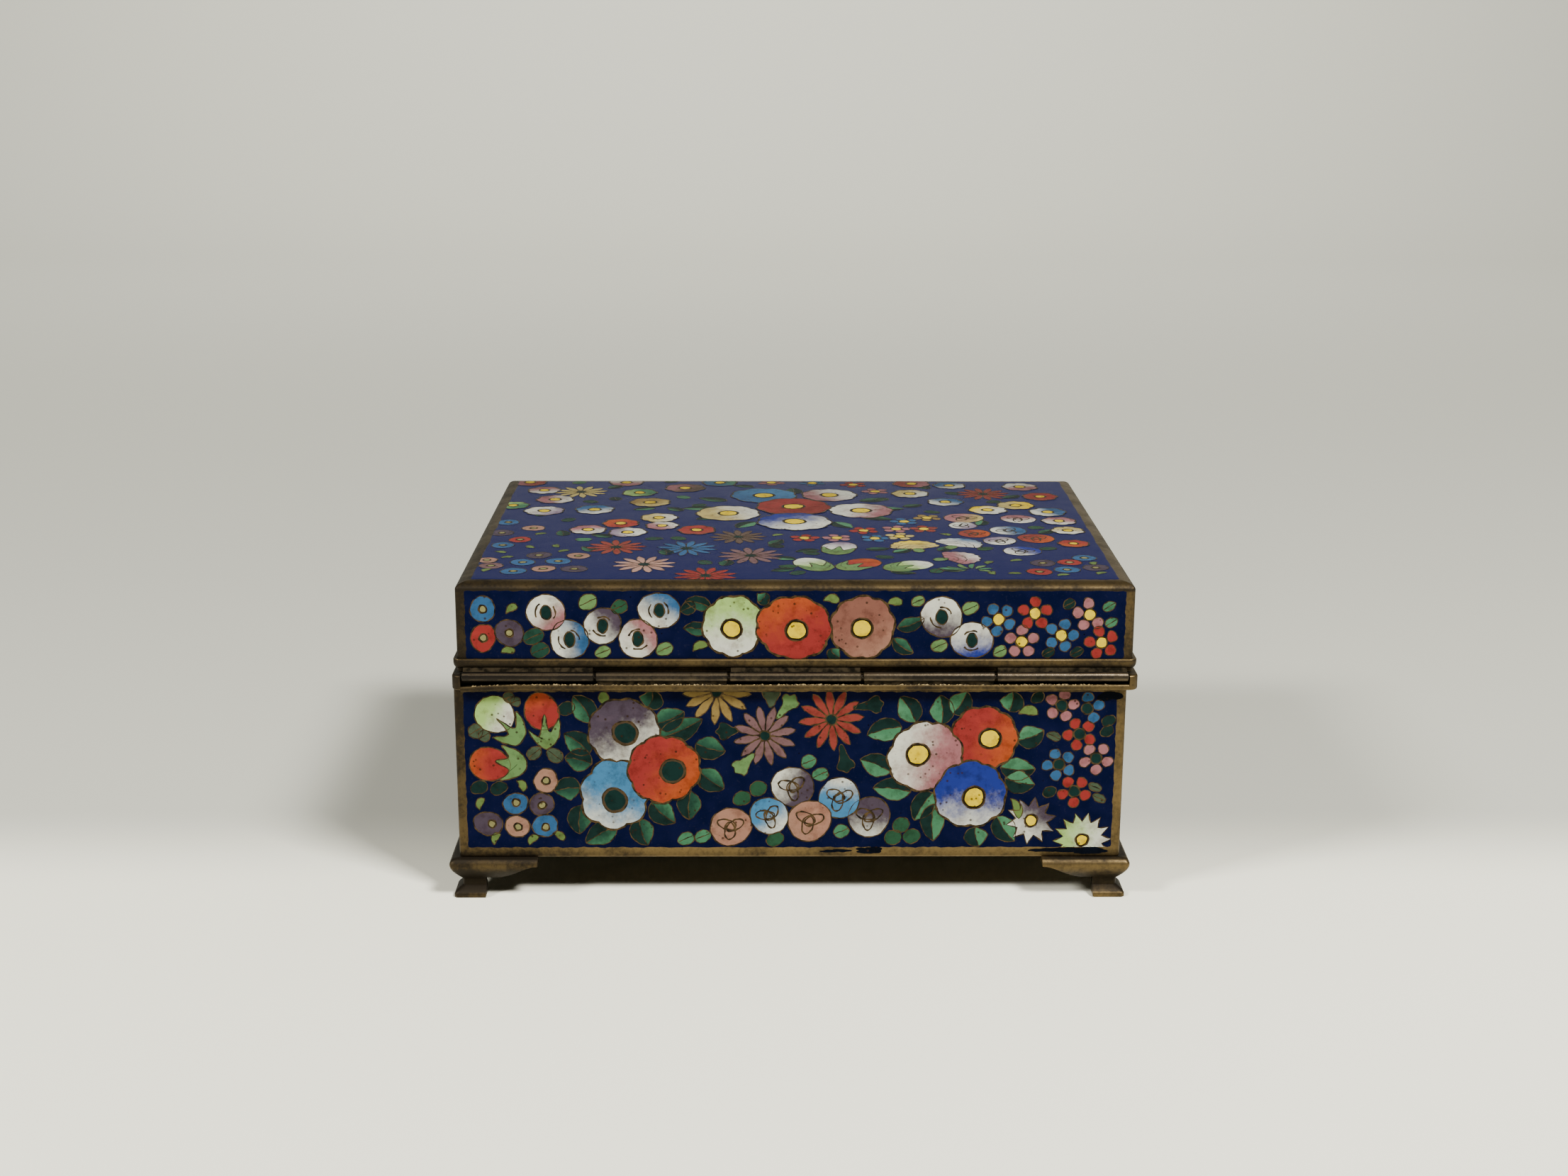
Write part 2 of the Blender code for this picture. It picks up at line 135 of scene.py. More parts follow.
class Value:
    """One output of a shader node. Arithmetic on it adds Math nodes, and node() adds any other node."""

    def __init__(self, tree, socket=None):
        self.tree, self.socket = tree, socket

    def node(self, kind, settings=None, inputs=None, output=0):
        """A node of a type, with its settings first, then the values or links of its sockets."""
        made = self.tree.nodes.new("ShaderNode" + kind)
        for setting, value in (settings or {}).items():
            setattr(made, setting, value)
        for socket, value in (inputs or {}).items():
            if isinstance(value, Value):
                self.tree.links.new(value.socket, made.inputs[socket])
            elif value is not None:
                made.inputs[socket].default_value = value
        return Value(self.tree, made.outputs[output])

    def maths(self, operation, first, second=None):
        """A Math node on one or two values."""
        return self.node("Math", {"operation": operation}, {0: first, 1: second})

    def __add__(self, other):
        return self.maths("ADD", self, other)

    def __mul__(self, other):
        return self.maths("MULTIPLY", self, other)

    def __sub__(self, other):
        return self.maths("SUBTRACT", self, other)

    def __rsub__(self, other):
        return self.maths("SUBTRACT", other, self)

    __radd__ = __add__
    __rmul__ = __mul__

    def between(self, low, high):
        """0 below low, 1 above high and a smooth step between them."""
        settings = {"interpolation_type": "SMOOTHSTEP"}
        return self.node("MapRange", settings, {"Value": self, "From Min": low, "From Max": high})

    def mix(self, first, second, blend="MIX"):
        """Two colours mixed by this value."""
        settings = {"data_type": "RGBA", "blend_type": blend}
        return self.node("Mix", settings, {0: self, 6: first, 7: second}, output=2)

    def noise(self, scale, detail=2.0, roughness=0.5, stretch=(1, 1, 1)):
        """Fractal noise on the object's own coordinates, in metres, stretched along an axis if asked."""
        place = self.node("TexCoord", output="Object")
        if stretch != (1, 1, 1):
            place = self.node("Mapping", {}, {"Vector": place, "Scale": stretch})
        sockets = {"Vector": place, "Scale": scale, "Detail": detail, "Roughness": roughness}
        return self.node("TexNoise", {}, sockets)

    def pits(self, scale):
        """The distance to the nearest of many scattered points, near 0 in small round spots."""
        place = self.node("TexCoord", output="Object")
        return self.node("TexVoronoi", {}, {"Vector": place, "Scale": scale})

    def axis(self, number):
        """The object's own X, Y or Z in metres, by number from 0."""
        place = self.node("TexCoord", output="Object")
        return self.node("SeparateXYZ", {}, {"Vector": place}, number)


def finish(name, colour, roughness, metallic=0.0, bump=None, bump_height=0.0, **fixed):
    """A Principled material; colour and roughness may be Values made on the tree that is passed along."""
    tree = colour.tree
    shader = next(node for node in tree.nodes if node.type == "BSDF_PRINCIPLED")
    links = {"Base Color": colour, "Roughness": roughness, "Metallic": metallic}
    for socket, value in {**links, **fixed}.items():
        if isinstance(value, Value):
            tree.links.new(value.socket, shader.inputs[socket])
        else:
            shader.inputs[socket].default_value = value
    if bump:
        sockets = {"Height": bump, "Distance": bump_height, "Strength": 1.0}
        normal = colour.node("Bump", {}, sockets)
        tree.links.new(normal.socket, shader.inputs["Normal"])
    return bpy.data.materials[name]


def palette(name):
    """A new node material, and a Value to start its expressions from."""
    material = bpy.data.materials.new(name)
    material.use_nodes = True
    return Value(material.node_tree)


def rgb(red, green, blue, strength=1.0):
    """A linear RGBA colour from the 0 to 255 values that a colour picker shows."""
    values = np.array([red, green, blue]) / 255
    linear = np.where(values > 0.04045, ((values + 0.055) / 1.055) ** 2.4, values / 12.92)
    return (*(linear * strength), 1.0)


paper = palette("paper")
depth, height = paper.axis(1), paper.axis(2)
# Painted light: the paper in front of the box is lighter than the paper behind it.
paper_light_and_shade = depth.between(-0.038, 0.002).mix((*NEAR_PAPER_LIT, 1), (*FAR_PAPER_SHADED, 1))
# Painted shade: the back wall turns dark from 0.3 m up.
paper_light_and_shade = (height.between(0.30, 0.50) * depth.between(0.9, 1.0)).mix(paper_light_and_shade, (*HIGH_PAPER_SHADED, 1))
sweep.data.materials.append(finish("paper", paper_light_and_shade, 0.85))


# Base tray: an open box of sheet metal, its walls flush with the enamel and its inside glazed plain blue.
# The brass has gone brown, with brighter metal where hands have rubbed the edges.
# The underside is bare metal.
BASE_MIDDLE, LID_MIDDLE = np.array([0.0, 0.15]), np.array([0.75, 0.15])
HALF_LENGTH, HALF_DEPTH, CORNER, WALL = 55.0, 40.0, 0.6, 2.0
TRAY_BOTTOM, TRAY_FLOOR, TRAY_TOP, TRAY_EDGE = 6.85, 8.4, 36.45, 0.35
LONG_STEPS, SHORT_STEPS, CORNER_STEPS = 74, 54, 7


def loop(out, height, middle=BASE_MIDDLE, half=(HALF_LENGTH, HALF_DEPTH), wander=0.0):
    """A level rounded rectangle of points, counterclockwise, set out from the walls by a distance.

    Each corner is a quarter circle, and wander moves the line in by up to twice itself in three sine waves.
    """
    half = np.array(half) + out
    radius = max(CORNER + out, 0.1)
    if half[1] < 0.1:
        radius = 0.0
    turn = np.linspace(0, math.pi / 2, CORNER_STEPS)
    signs = np.array([(1, 1), (-1, 1), (-1, -1), (1, -1)])
    arcs = [
        sign * (half - radius) + radius * np.column_stack([np.cos(turn + quarter), np.sin(turn + quarter)])
        for sign, quarter in zip(signs, np.arange(4) * math.pi / 2)
    ]
    line = []
    for quarter, arc in enumerate(arcs):
        steps = (LONG_STEPS, SHORT_STEPS)[quarter % 2]
        share = np.concatenate([[0.0003], np.linspace(0, 1, steps)[1:-1], [0.9997]])[:, None]
        line += [arc, arc[-1] + share * (arcs[(quarter + 1) % 4][0] - arc[-1])]
    line = np.vstack(line)
    along = np.arctan2(line[:, 1], line[:, 0])
    wave = np.sin(3 * along + height) + np.sin(7 * along + 2 * height) + np.sin(17 * along)
    line = line * (1 + wander * (wave / 3 - 1) / (np.linalg.norm(line, axis=1) + 1e-9))[:, None] + middle
    return np.column_stack([line, np.full(len(line), height)])


def edge_round(out, height, radius, start, end, steps=4, rub_and_glint=0.6):
    """(out, height, wear) along an arc about a point, in degrees; the wear is greatest half way."""
    angle = np.radians(np.linspace(start, end, steps + 1))
    wear = np.sin(np.linspace(0, math.pi, steps + 1))
    return list(zip(out + radius * np.cos(angle), height + radius * np.sin(angle), rub_and_glint * (0.6 + 0.4 * wear)))


def sweep_round(name, profile, middle=BASE_MIDDLE, glazed=(0, 0), wander=0.03):
    """Carry a profile of (out, height, wear and painted highlight) round the box; the glazed range of steps
    gets slot two.
    """
    points = np.array([loop(out, height, middle, wander=wander * wear) for out, height, wear in profile]) * MM
    wear = np.repeat([step[2] for step in profile], points.shape[1])
    steps = np.arange(len(profile) - 1)
    slots = np.repeat((steps >= glazed[0]) & (steps < glazed[1]), points.shape[1])
    piece = skin(name, points, wrap_columns=True, wear=wear, slots=slots)
    piece.data.materials.append(brass)
    piece.data.materials.append(glaze)
    return piece


def brass_look(name, dark, bright, roughness):
    """Old brass: brown and bright metal mixed by the piece's wear and painted highlights, by cloudy and fine
    noise, and by painted shade towards the box's left end.
    """
    start = palette(name)
    wear = start.node("Attribute", {"attribute_name": "wear"}, output=2)
    cloud, grain = start.noise(170.0, 4.0), start.noise(1400.0, 3.0, 0.7)
    # Painted shade: the brass darkens towards the box's left end, away from the right lamp.
    side = start.axis(0).between(-0.058, -0.02)
    rubbed_and_lit = (wear * 0.7 + cloud * 0.7 + grain * 0.5 + side * 0.2 - 0.78).between(0.0, 0.7)
    tone = rubbed_and_lit.mix(rgb(*dark), rgb(*bright))
    grime = (cloud * 0.45 + grain * 0.55).between(0.55, 0.68) * (1 - wear * 0.7)
    tone = (grime * 0.8).mix(tone, rgb(13, 10, 7))
    return finish(name, tone, roughness + 0.2 * (1 - rubbed_and_lit), 0.9, grain, 0.00002)


brass = brass_look("brass", (34, 28, 19), (107, 88, 53), 0.38)
start = palette("blue_glaze")
mottle = start.noise(240.0, 4.0).between(0.3, 0.7)
glaze = finish("blue_glaze", mottle.mix(rgb(10, 29, 80), rgb(21, 44, 96)), 0.22)

tray_profile = [(-HALF_DEPTH + 0.001, TRAY_BOTTOM, 0.0), (-2.0, TRAY_BOTTOM, 0.2)]
tray_profile += edge_round(-TRAY_EDGE, TRAY_BOTTOM + TRAY_EDGE, TRAY_EDGE, -90, 0)
tray_profile += [
    (0, TRAY_BOTTOM + 1.6, 0.6), (0, TRAY_TOP - 1.2, 0.4), (0, TRAY_TOP, 0.3), (-WALL, TRAY_TOP, 0),
    (-WALL, TRAY_FLOOR + 0.4, 0), (-WALL - 0.4, TRAY_FLOOR, 0), (-HALF_DEPTH + 0.001, TRAY_FLOOR, 0),
]
tray = sweep_round("tray", tray_profile, glazed=(len(tray_profile) - 4, len(tray_profile) - 1))
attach(tray, "base")
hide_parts("base_tray")


# Bracket feet: four castings that wrap the corners, each with a shoulder, a bulge, a neck and a flared pad.
# The bracket's lower edge sweeps up from the leg to a thin tip on each side.
FOOT_HEIGHT, FOOT_SHOULDER, FOOT_BULGE, FOOT_NECK, FOOT_BACK, FOOT_CORNER = 6.9, 0.9, 1.6, 0.3, 1.6, 0.7
NECK_TOP, NECK_LOW, PAD_HEIGHT, PAD_FLARE = 2.9, 1.8, 0.5, 1.0
BRACKET_REACH, BRACKET_TIP, SOFFIT_REACH, LEG_TOP, LEG_REACH = 13.0, 5.7, 6.0, 3.3, 4.3
TOP_POLE, PAD_POLE = 0.8, 0.6


def foot_section(height):
    """How far a foot stands out at each height: a quarter cosine bulge, a straight neck, a sine flare."""
    bulge = FOOT_HEIGHT - FOOT_SHOULDER
    shoulder = FOOT_BULGE - 0.5 * ((height - bulge) / FOOT_SHOULDER) ** 2
    swell = (FOOT_BULGE + FOOT_NECK) * np.cos(math.pi / 2 * (bulge - height) / (bulge - NECK_TOP)) - FOOT_NECK
    share = np.clip((NECK_LOW - height) / (NECK_LOW - PAD_HEIGHT), 0, 1)
    flare = (PAD_FLARE + FOOT_NECK) * np.sin(math.pi / 2 * share) - FOOT_NECK
    return np.where(height >= bulge, shoulder, np.where(height >= NECK_TOP, swell, flare))


soffit = np.linspace(0, 1, 15)
foot_heights = np.concatenate([
    np.linspace(FOOT_HEIGHT, BRACKET_TIP, 7)[:-1],
    BRACKET_TIP - (BRACKET_TIP - LEG_TOP) * (1 - np.cos(math.pi * soffit)) / 2,
    [LEG_TOP, NECK_TOP],
    np.linspace(NECK_LOW, PAD_HEIGHT, 9),
    [0.12, 0.0, 0.0],
])
foot_reaches = np.concatenate([
    np.full(6, BRACKET_REACH),
    BRACKET_REACH - (BRACKET_REACH - SOFFIT_REACH) * soffit,
    np.full(14, LEG_REACH),
])
foot_reaches[-2], foot_reaches[-1] = LEG_REACH - 0.1, 0.0
stand_out = foot_section(foot_heights)
stand_out[-2:] -= 0.1
for name, mirror in (
    ("back_left", (-1, -1)), ("back_right", (1, -1)), ("front_left", (-1, 1)), ("front_right", (1, 1)),
):
    rings = []
    for height, reach, out in zip(foot_heights, foot_reaches, stand_out):
        turn = np.linspace(0, math.pi / 2, 9)
        bend = out - FOOT_CORNER * (1 - np.column_stack([np.cos(turn), np.sin(turn)]))
        sway = 0.02 * math.sin(2.1 * height + 3 * mirror[0] + mirror[1]) - 0.02
        if reach > 0:
            run = np.linspace(-reach, -FOOT_CORNER - 0.3, 7)
            face = np.column_stack([np.full(7, out), run])
            back = [(-reach, -FOOT_BACK), (-FOOT_BACK, -FOOT_BACK), (-FOOT_BACK, -reach)]
            section = np.vstack([face, bend, face[::-1, ::-1], back]) + sway
        else:
            section = np.full_like(section, -PAD_POLE)
        section = section * mirror + BASE_MIDDLE + np.array(mirror) * (HALF_LENGTH, HALF_DEPTH)
        rings.append(np.column_stack([section, np.full(len(section), height)]))
    top_pole = rings[0].copy()
    top_pole[:, :2] = BASE_MIDDLE + np.array(mirror) * (HALF_LENGTH - TOP_POLE, HALF_DEPTH - TOP_POLE)
    points = np.array([top_pole, *rings])
    if mirror[0] * mirror[1] > 0:
        points = points[::-1]
    wear = 0.5 * np.clip(stand_out / FOOT_BULGE, 0, 1) ** 2 + 0.3 * (foot_heights < 0.9)
    wear = np.concatenate([[0.0], wear])
    wear = np.repeat(wear if mirror[0] * mirror[1] < 0 else wear[::-1], points.shape[1])
    foot = skin("foot_" + name, points * MM, wrap_columns=True, wear=wear, smooth_angle=50)
    foot.data.materials.append(brass)
    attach(foot, "base")
    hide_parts("foot_" + name)


# Base rim: a brass frame soldered on the tray that the lid shuts down on.
# Along the hinge side its top is cut down to a ledge, and it stands out further to carry the knuckles.
# The rim's left end is bent down a little there, and crusty pale metal sits along the ledge's outer edge.
RIM_OUT, RIM_LOW, RIM_TOP, RIM_EDGE = 0.85, 36.4, 38.9, 0.3
LEDGE_OUT, LEDGE_TOP, NOTCH_HALF = 1.6, 37.35, 54.4
BENT_FROM, BENT_DROP = 45.5, 0.38
CRUST_HALF, CRUST_HEIGHT, CRUST_STEPS = 52.5, 0.2, 700
CRUST_WAVES = ((0.31, 1), (1.9, 0), (4.7, 2), (9.1, 1), (14.3, 3))


def bent_down(x):
    """How far the rim is bent down at a place along it: a power curve that starts near its left end."""
    return BENT_DROP * np.clip((LID_MIDDLE[0] - BENT_FROM - x) / (NOTCH_HALF - BENT_FROM), 0, 1) ** 1.5


deeper = (LEDGE_OUT - RIM_OUT) / 2
rim_half, rim_middle = (HALF_LENGTH, HALF_DEPTH + deeper), LID_MIDDLE - (0, deeper)
rim_profile = edge_round(RIM_OUT - RIM_EDGE, RIM_LOW + RIM_EDGE, RIM_EDGE, -90, 0, rub_and_glint=0.5)
rim_profile += edge_round(RIM_OUT - RIM_EDGE, RIM_TOP - RIM_EDGE, RIM_EDGE, 0, 90, rub_and_glint=0.5)
rim_profile += [(-0.5, RIM_TOP, 0.15), (-0.55, RIM_TOP, 0.15)]
rim_rings = [loop(out, height, rim_middle, rim_half, 0.03 * wear) for out, height, wear in rim_profile]
straight = loop(0, 0, rim_middle, rim_half)
notch = (np.abs(straight[:, 0] - LID_MIDDLE[0]) < NOTCH_HALF - 0.01) & (straight[:, 1] < 0)
for index, ring in enumerate(rim_rings):
    if index >= 5:
        ring[notch, 2] -= RIM_TOP - LEDGE_TOP
for index, height in ((-2, LEDGE_TOP), (-1, RIM_TOP)):
    rim_rings[index][notch, 1] = LID_MIDDLE[1] - HALF_DEPTH
    rim_rings[index][notch, 2] = height
for ring in rim_rings[:-1]:
    ring[notch, 2] -= bent_down(straight[notch, 0])
inner_rings = [loop(-WALL, height, LID_MIDDLE) for height in (RIM_TOP, RIM_LOW)]
rim_points = np.array([*rim_rings, *inner_rings]) * MM
wear = np.repeat([*(step[2] for step in rim_profile), 0.2, 0.0], rim_points.shape[1])
rim = skin("rim", rim_points, wrap_rows=True, wrap_columns=True, wear=wear)
rim.data.materials.append(brass)
crust_x = np.linspace(-CRUST_HALF, CRUST_HALF, CRUST_STEPS)
crust_lump = sum(np.sin(crust_x * rate + phase) for rate, phase in CRUST_WAVES)
crust_rise = CRUST_HEIGHT * np.clip(crust_lump / 2.4, 0, 1) - 0.03
crust_x = crust_x + LID_MIDDLE[0]
crust_edge = LID_MIDDLE[1] - HALF_DEPTH - LEDGE_OUT
crust_rows = []
for inset, share in ((0.03, -0.3), (0.05, 0.6), (0.18, 1.0), (0.4, 0.7), (0.6, 0.0)):
    rise = np.maximum(crust_rise, 0) * share + np.minimum(crust_rise, 0) - bent_down(crust_x)
    reach = np.full(CRUST_STEPS, crust_edge + inset)
    crust_rows.append(np.column_stack([crust_x, reach, LEDGE_TOP + rise]))
crust = skin("rim_crust", np.array(crust_rows) * MM)
start = palette("crust")
crust_mark = start.noise(2200.0, 3.0).between(0.4, 0.62)
crust_tone = crust_mark.mix(rgb(58, 47, 28), rgb(150, 128, 82))
crust.data.materials.append(finish("crust", crust_tone, 0.7, 0.3, crust_mark, 0.00004))
for piece in (rim, crust):
    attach(piece, "base")
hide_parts("base_rim")


# Hinge: five brass tubes on one pin, soldered in turn to the lid's moulding and to the ledge of the rim.
# Dark solder shows along the joints, and a gap is left on the other side of each tube.
AXIS_Y, AXIS_Z, BARREL, BORE, PIN, PIN_PROUD = -40.95, 38.65, 0.8, 0.42, 0.35, 0.25
KNUCKLES, KNUCKLE_GAP, HINGE_HALF, BARREL_STEPS = 5, 0.4, 54.1, 40
# Painted highlights: each tube gets a bright line along its top and a fainter one along its lower side.
UPPER_HIGHLIGHT, LOWER_HIGHLIGHT = (137, 14, 0.9), (207, 10, 0.3)
LID_SOLDER = ((-40.45, 39.95), (-39.9, 39.95)), ((-41.0, 39.32), (-40.3, 39.0))
LEDGE_SOLDER = ((-41.3, 38.05), (-40.45, 38.2)), ((-41.25, LEDGE_TOP - 0.02), (-40.3, LEDGE_TOP - 0.02))


def turned(profile, steps=20, wobble=0.0):
    """A grid of points round the hinge's axis from (x, radius) steps, with a slight waver in the radius."""
    angle = np.arange(steps) / steps * TAU
    x, radius = (np.array(column)[:, None] for column in zip(*profile))
    radius = radius * (1 + wobble * (np.sin(x * 0.7 + 2 * angle) - 1))
    y, z = AXIS_Y + radius * np.cos(angle), AXIS_Z + radius * np.sin(angle)
    return np.stack(np.broadcast_arrays(x, y, z), -1)


def seam(start, end, upper, lower, steps=24):
    """A bead of solder: a lumpy bar whose section runs from one pair of (y, z) points to another."""
    x = np.linspace(start, end, steps)[:, None]
    lump = 0.05 * np.sin(x * 1.9) + 0.04 * np.sin(x * 4.3 + 1)
    section = np.array([upper[0], lower[0], lower[1], upper[1]])
    out = np.array([[-1, -1, 1, 1]]) * 0.5
    y, z = section[:, 0] + lump * out, np.broadcast_to(section[:, 1], (steps, 4))
    grid = np.stack([np.broadcast_to(x, (steps, 4)), y, z], -1)
    ends = [grid[:1].mean(1, keepdims=True).repeat(4, 1), grid[-1:].mean(1, keepdims=True).repeat(4, 1)]
    return np.concatenate([ends[0], grid, ends[1]])


hinge_brass = brass_look("hinge_brass", (29, 25, 21), (106, 92, 71), 0.26)
start = palette("solder")
solder_mark = start.noise(900.0, 4.0).between(0.35, 0.65)
solder_tone = solder_mark.mix(rgb(14, 12, 8), rgb(38, 32, 22))
solder = finish("solder", solder_tone, 0.65, 0.0, solder_mark, 0.00004, **{"Specular IOR Level": 0.0})
knuckle_length = (2 * HINGE_HALF - (KNUCKLES - 1) * KNUCKLE_GAP) / KNUCKLES
for number in range(1, KNUCKLES + 1):
    low = LID_MIDDLE[0] - HINGE_HALF + (number - 1) * (knuckle_length + KNUCKLE_GAP)
    high = low + knuckle_length
    on_lid = number % 2 == 1
    profile = [(low, BORE), (low, BARREL - 0.1), (low + 0.1, BARREL)]
    profile += [(x, BARREL) for x in np.linspace(low + 1, high - 1, 12)]
    profile += [(high - 0.1, BARREL), (high, BARREL - 0.1), (high, BORE)]
    barrel = turned(profile, BARREL_STEPS, wobble=0.012)[:, ::-1]
    around = np.arange(BARREL_STEPS)[::-1] * 360 / BARREL_STEPS
    wear = 0.1
    # These lines are painted highlights added to the tube's wear.
    for angle, spread, rub_and_glint in (UPPER_HIGHLIGHT, LOWER_HIGHLIGHT):
        wear = wear + rub_and_glint * np.exp(-(((around - angle) / spread) ** 2))
    wear = np.tile(wear, (len(profile), 1))
    knuckle = skin(f"knuckle_{number}", barrel * MM, True, True, wear=wear.ravel(), smooth_angle=40)
    knuckle.data.materials.append(hinge_brass)
    bar = seam(low + 0.15, high - 0.15, *(LID_SOLDER if on_lid else LEDGE_SOLDER))[:, ::-1]
    bead = skin(f"solder_{number}", bar * MM, wrap_columns=True)
    bead.data.materials.append(solder)
    for piece in (knuckle, bead):
        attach(piece, "lid" if on_lid else "base")
    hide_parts(f"hinge_knuckle_{number}")
left_end, right_end = LID_MIDDLE[0] - HINGE_HALF - PIN_PROUD, LID_MIDDLE[0] + HINGE_HALF + PIN_PROUD
pin_profile = [(left_end, 0.001), (left_end, 0.25), (left_end + 0.1, PIN)]
pin_profile += [(right_end - 0.1, PIN), (right_end, 0.25), (right_end, 0.001)]
pin = skin("pin", turned(pin_profile, 14)[:, ::-1] * MM, wrap_columns=True)
pin.data.materials.append(hinge_brass)
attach(pin, "base")
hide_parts("hinge_pin")


# Lid: a shallow metal box with a rounded top edge, glazed blue inside.
# A brass moulding round its foot has a quarter roll below and a crisp flat band above.
LID_FOOT, ROLL_LOW, ROLL_HIGH, BAND_TOP, LID_TOP = 39.2, 39.75, 40.85, 41.35, 54.05
MOULDING_OUT, EDGE_WIDTH, EDGE_DROP = 0.65, 2.4, 1.15
shell_profile = [
    (-HALF_DEPTH + 0.001, LID_TOP - WALL, 0), (-WALL - 0.5, LID_TOP - WALL, 0),
    (-WALL, LID_TOP - WALL - 0.5, 0), (-WALL, LID_FOOT, 0), (-0.2, LID_FOOT, 0),
    (0, LID_FOOT + 0.2, 0.25), (0, LID_TOP - EDGE_DROP - 0.5, 0.35),
]
# Across the rounded top edge the wear rises towards the top: partly rubbed metal, partly a painted highlight
# on the edge's upper half.
for angle in np.linspace(0, math.pi / 2, 9):
    reach, fall = EDGE_WIDTH * (1 - math.cos(angle)), EDGE_DROP * (1 - math.sin(angle))
    shell_profile.append((-reach, LID_TOP - fall, 0.1 + 0.45 * math.sin(angle)))
shell_profile += [(-EDGE_WIDTH - 0.3, LID_TOP, 0.5), (-HALF_DEPTH + 0.001, LID_TOP, 0)]
shell = sweep_round("lid_shell_metal", shell_profile, LID_MIDDLE, glazed=(0, 3), wander=0.0)
moulding_profile = [(-1.0, LID_FOOT, 0.0), (0.02, LID_FOOT, 0.1), (0.05, ROLL_LOW, 0.1)]
for angle in np.linspace(-60, 0, 8):
    reach, rise = MOULDING_OUT * math.cos(math.radians(angle)), 1.1 * math.sin(math.radians(angle))
    moulding_profile.append((reach, ROLL_HIGH + rise, 0.3 * (angle + 60) / 60))
moulding_profile += [(MOULDING_OUT, BAND_TOP - 0.12, 0.3), (MOULDING_OUT - 0.08, BAND_TOP, 0.7)]
moulding_profile += [(-1.0, BAND_TOP, 0.1)]
moulding = sweep_round("moulding", moulding_profile, LID_MIDDLE, wander=0.04)
for piece, node, slot in ((shell, "lid_shell", "brass_body"), (moulding, "lid_moulding", "brass_trim")):
    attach(piece, "lid")
    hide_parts(node)


# Enamel panels: opaque glass fired between thin brass wires on the metal and polished flush.
# Each has a deep blue ground, flowers filled into wire cells, and the wires that outline them.
# A panel is drawn in millimetres from its lower left corner, as seen from outside the box.
HAIR, WIRE, LOOP_WIRE, BOLD_WIRE = 0.15, 0.2, 0.26, 0.34
EDGE_LIFT, GROUND_LIFT, CELL_LIFT, LAYER_LIFT, WIRE_LIFT, WIRE_RISE = 0.002, 0.02, 0.012, 0.02, 0.006, 0.011
HAND_WAVER, EDGE_WANDER, CORNER_FILL = 0.035, 0.1, 0.5
GLASS_STRENGTH, GROUND_STEPS = 0.9, (150, 40)
GLASS = {
    "white": (172, 172, 158), "bluish": (136, 158, 169), "cream": (152, 137, 82), "straw": (108, 104, 66),
    "yellow": (190, 163, 16), "red": (114, 37, 34), "orange": (136, 60, 28), "crimson": (92, 32, 28),
    "coral": (108, 45, 38), "salmon": (126, 91, 75), "clay": (102, 66, 55), "beige": (140, 108, 94),
    "pink": (124, 93, 77), "rose": (122, 79, 81), "dusk": (90, 67, 67), "purple": (57, 48, 57),
    "lilac": (108, 92, 108), "brown": (72, 58, 49), "ochre": (110, 91, 51), "sky": (38, 71, 103),
    "pale_sky": (51, 95, 127), "royal": (28, 38, 101), "pale_green": (124, 151, 83), "sage": (78, 105, 62),
    "lime": (76, 94, 49), "grey_green": (54, 64, 48), "pale_mint": (65, 108, 77), "mint": (52, 94, 66),
    "leaf": (26, 51, 40), "fern": (31, 60, 41), "dark_leaf": (16, 32, 29), "deep_green": (15, 34, 31),
    "soot": (27, 22, 12), "bronze": (58, 47, 33), "ink": (5, 8, 16),
}


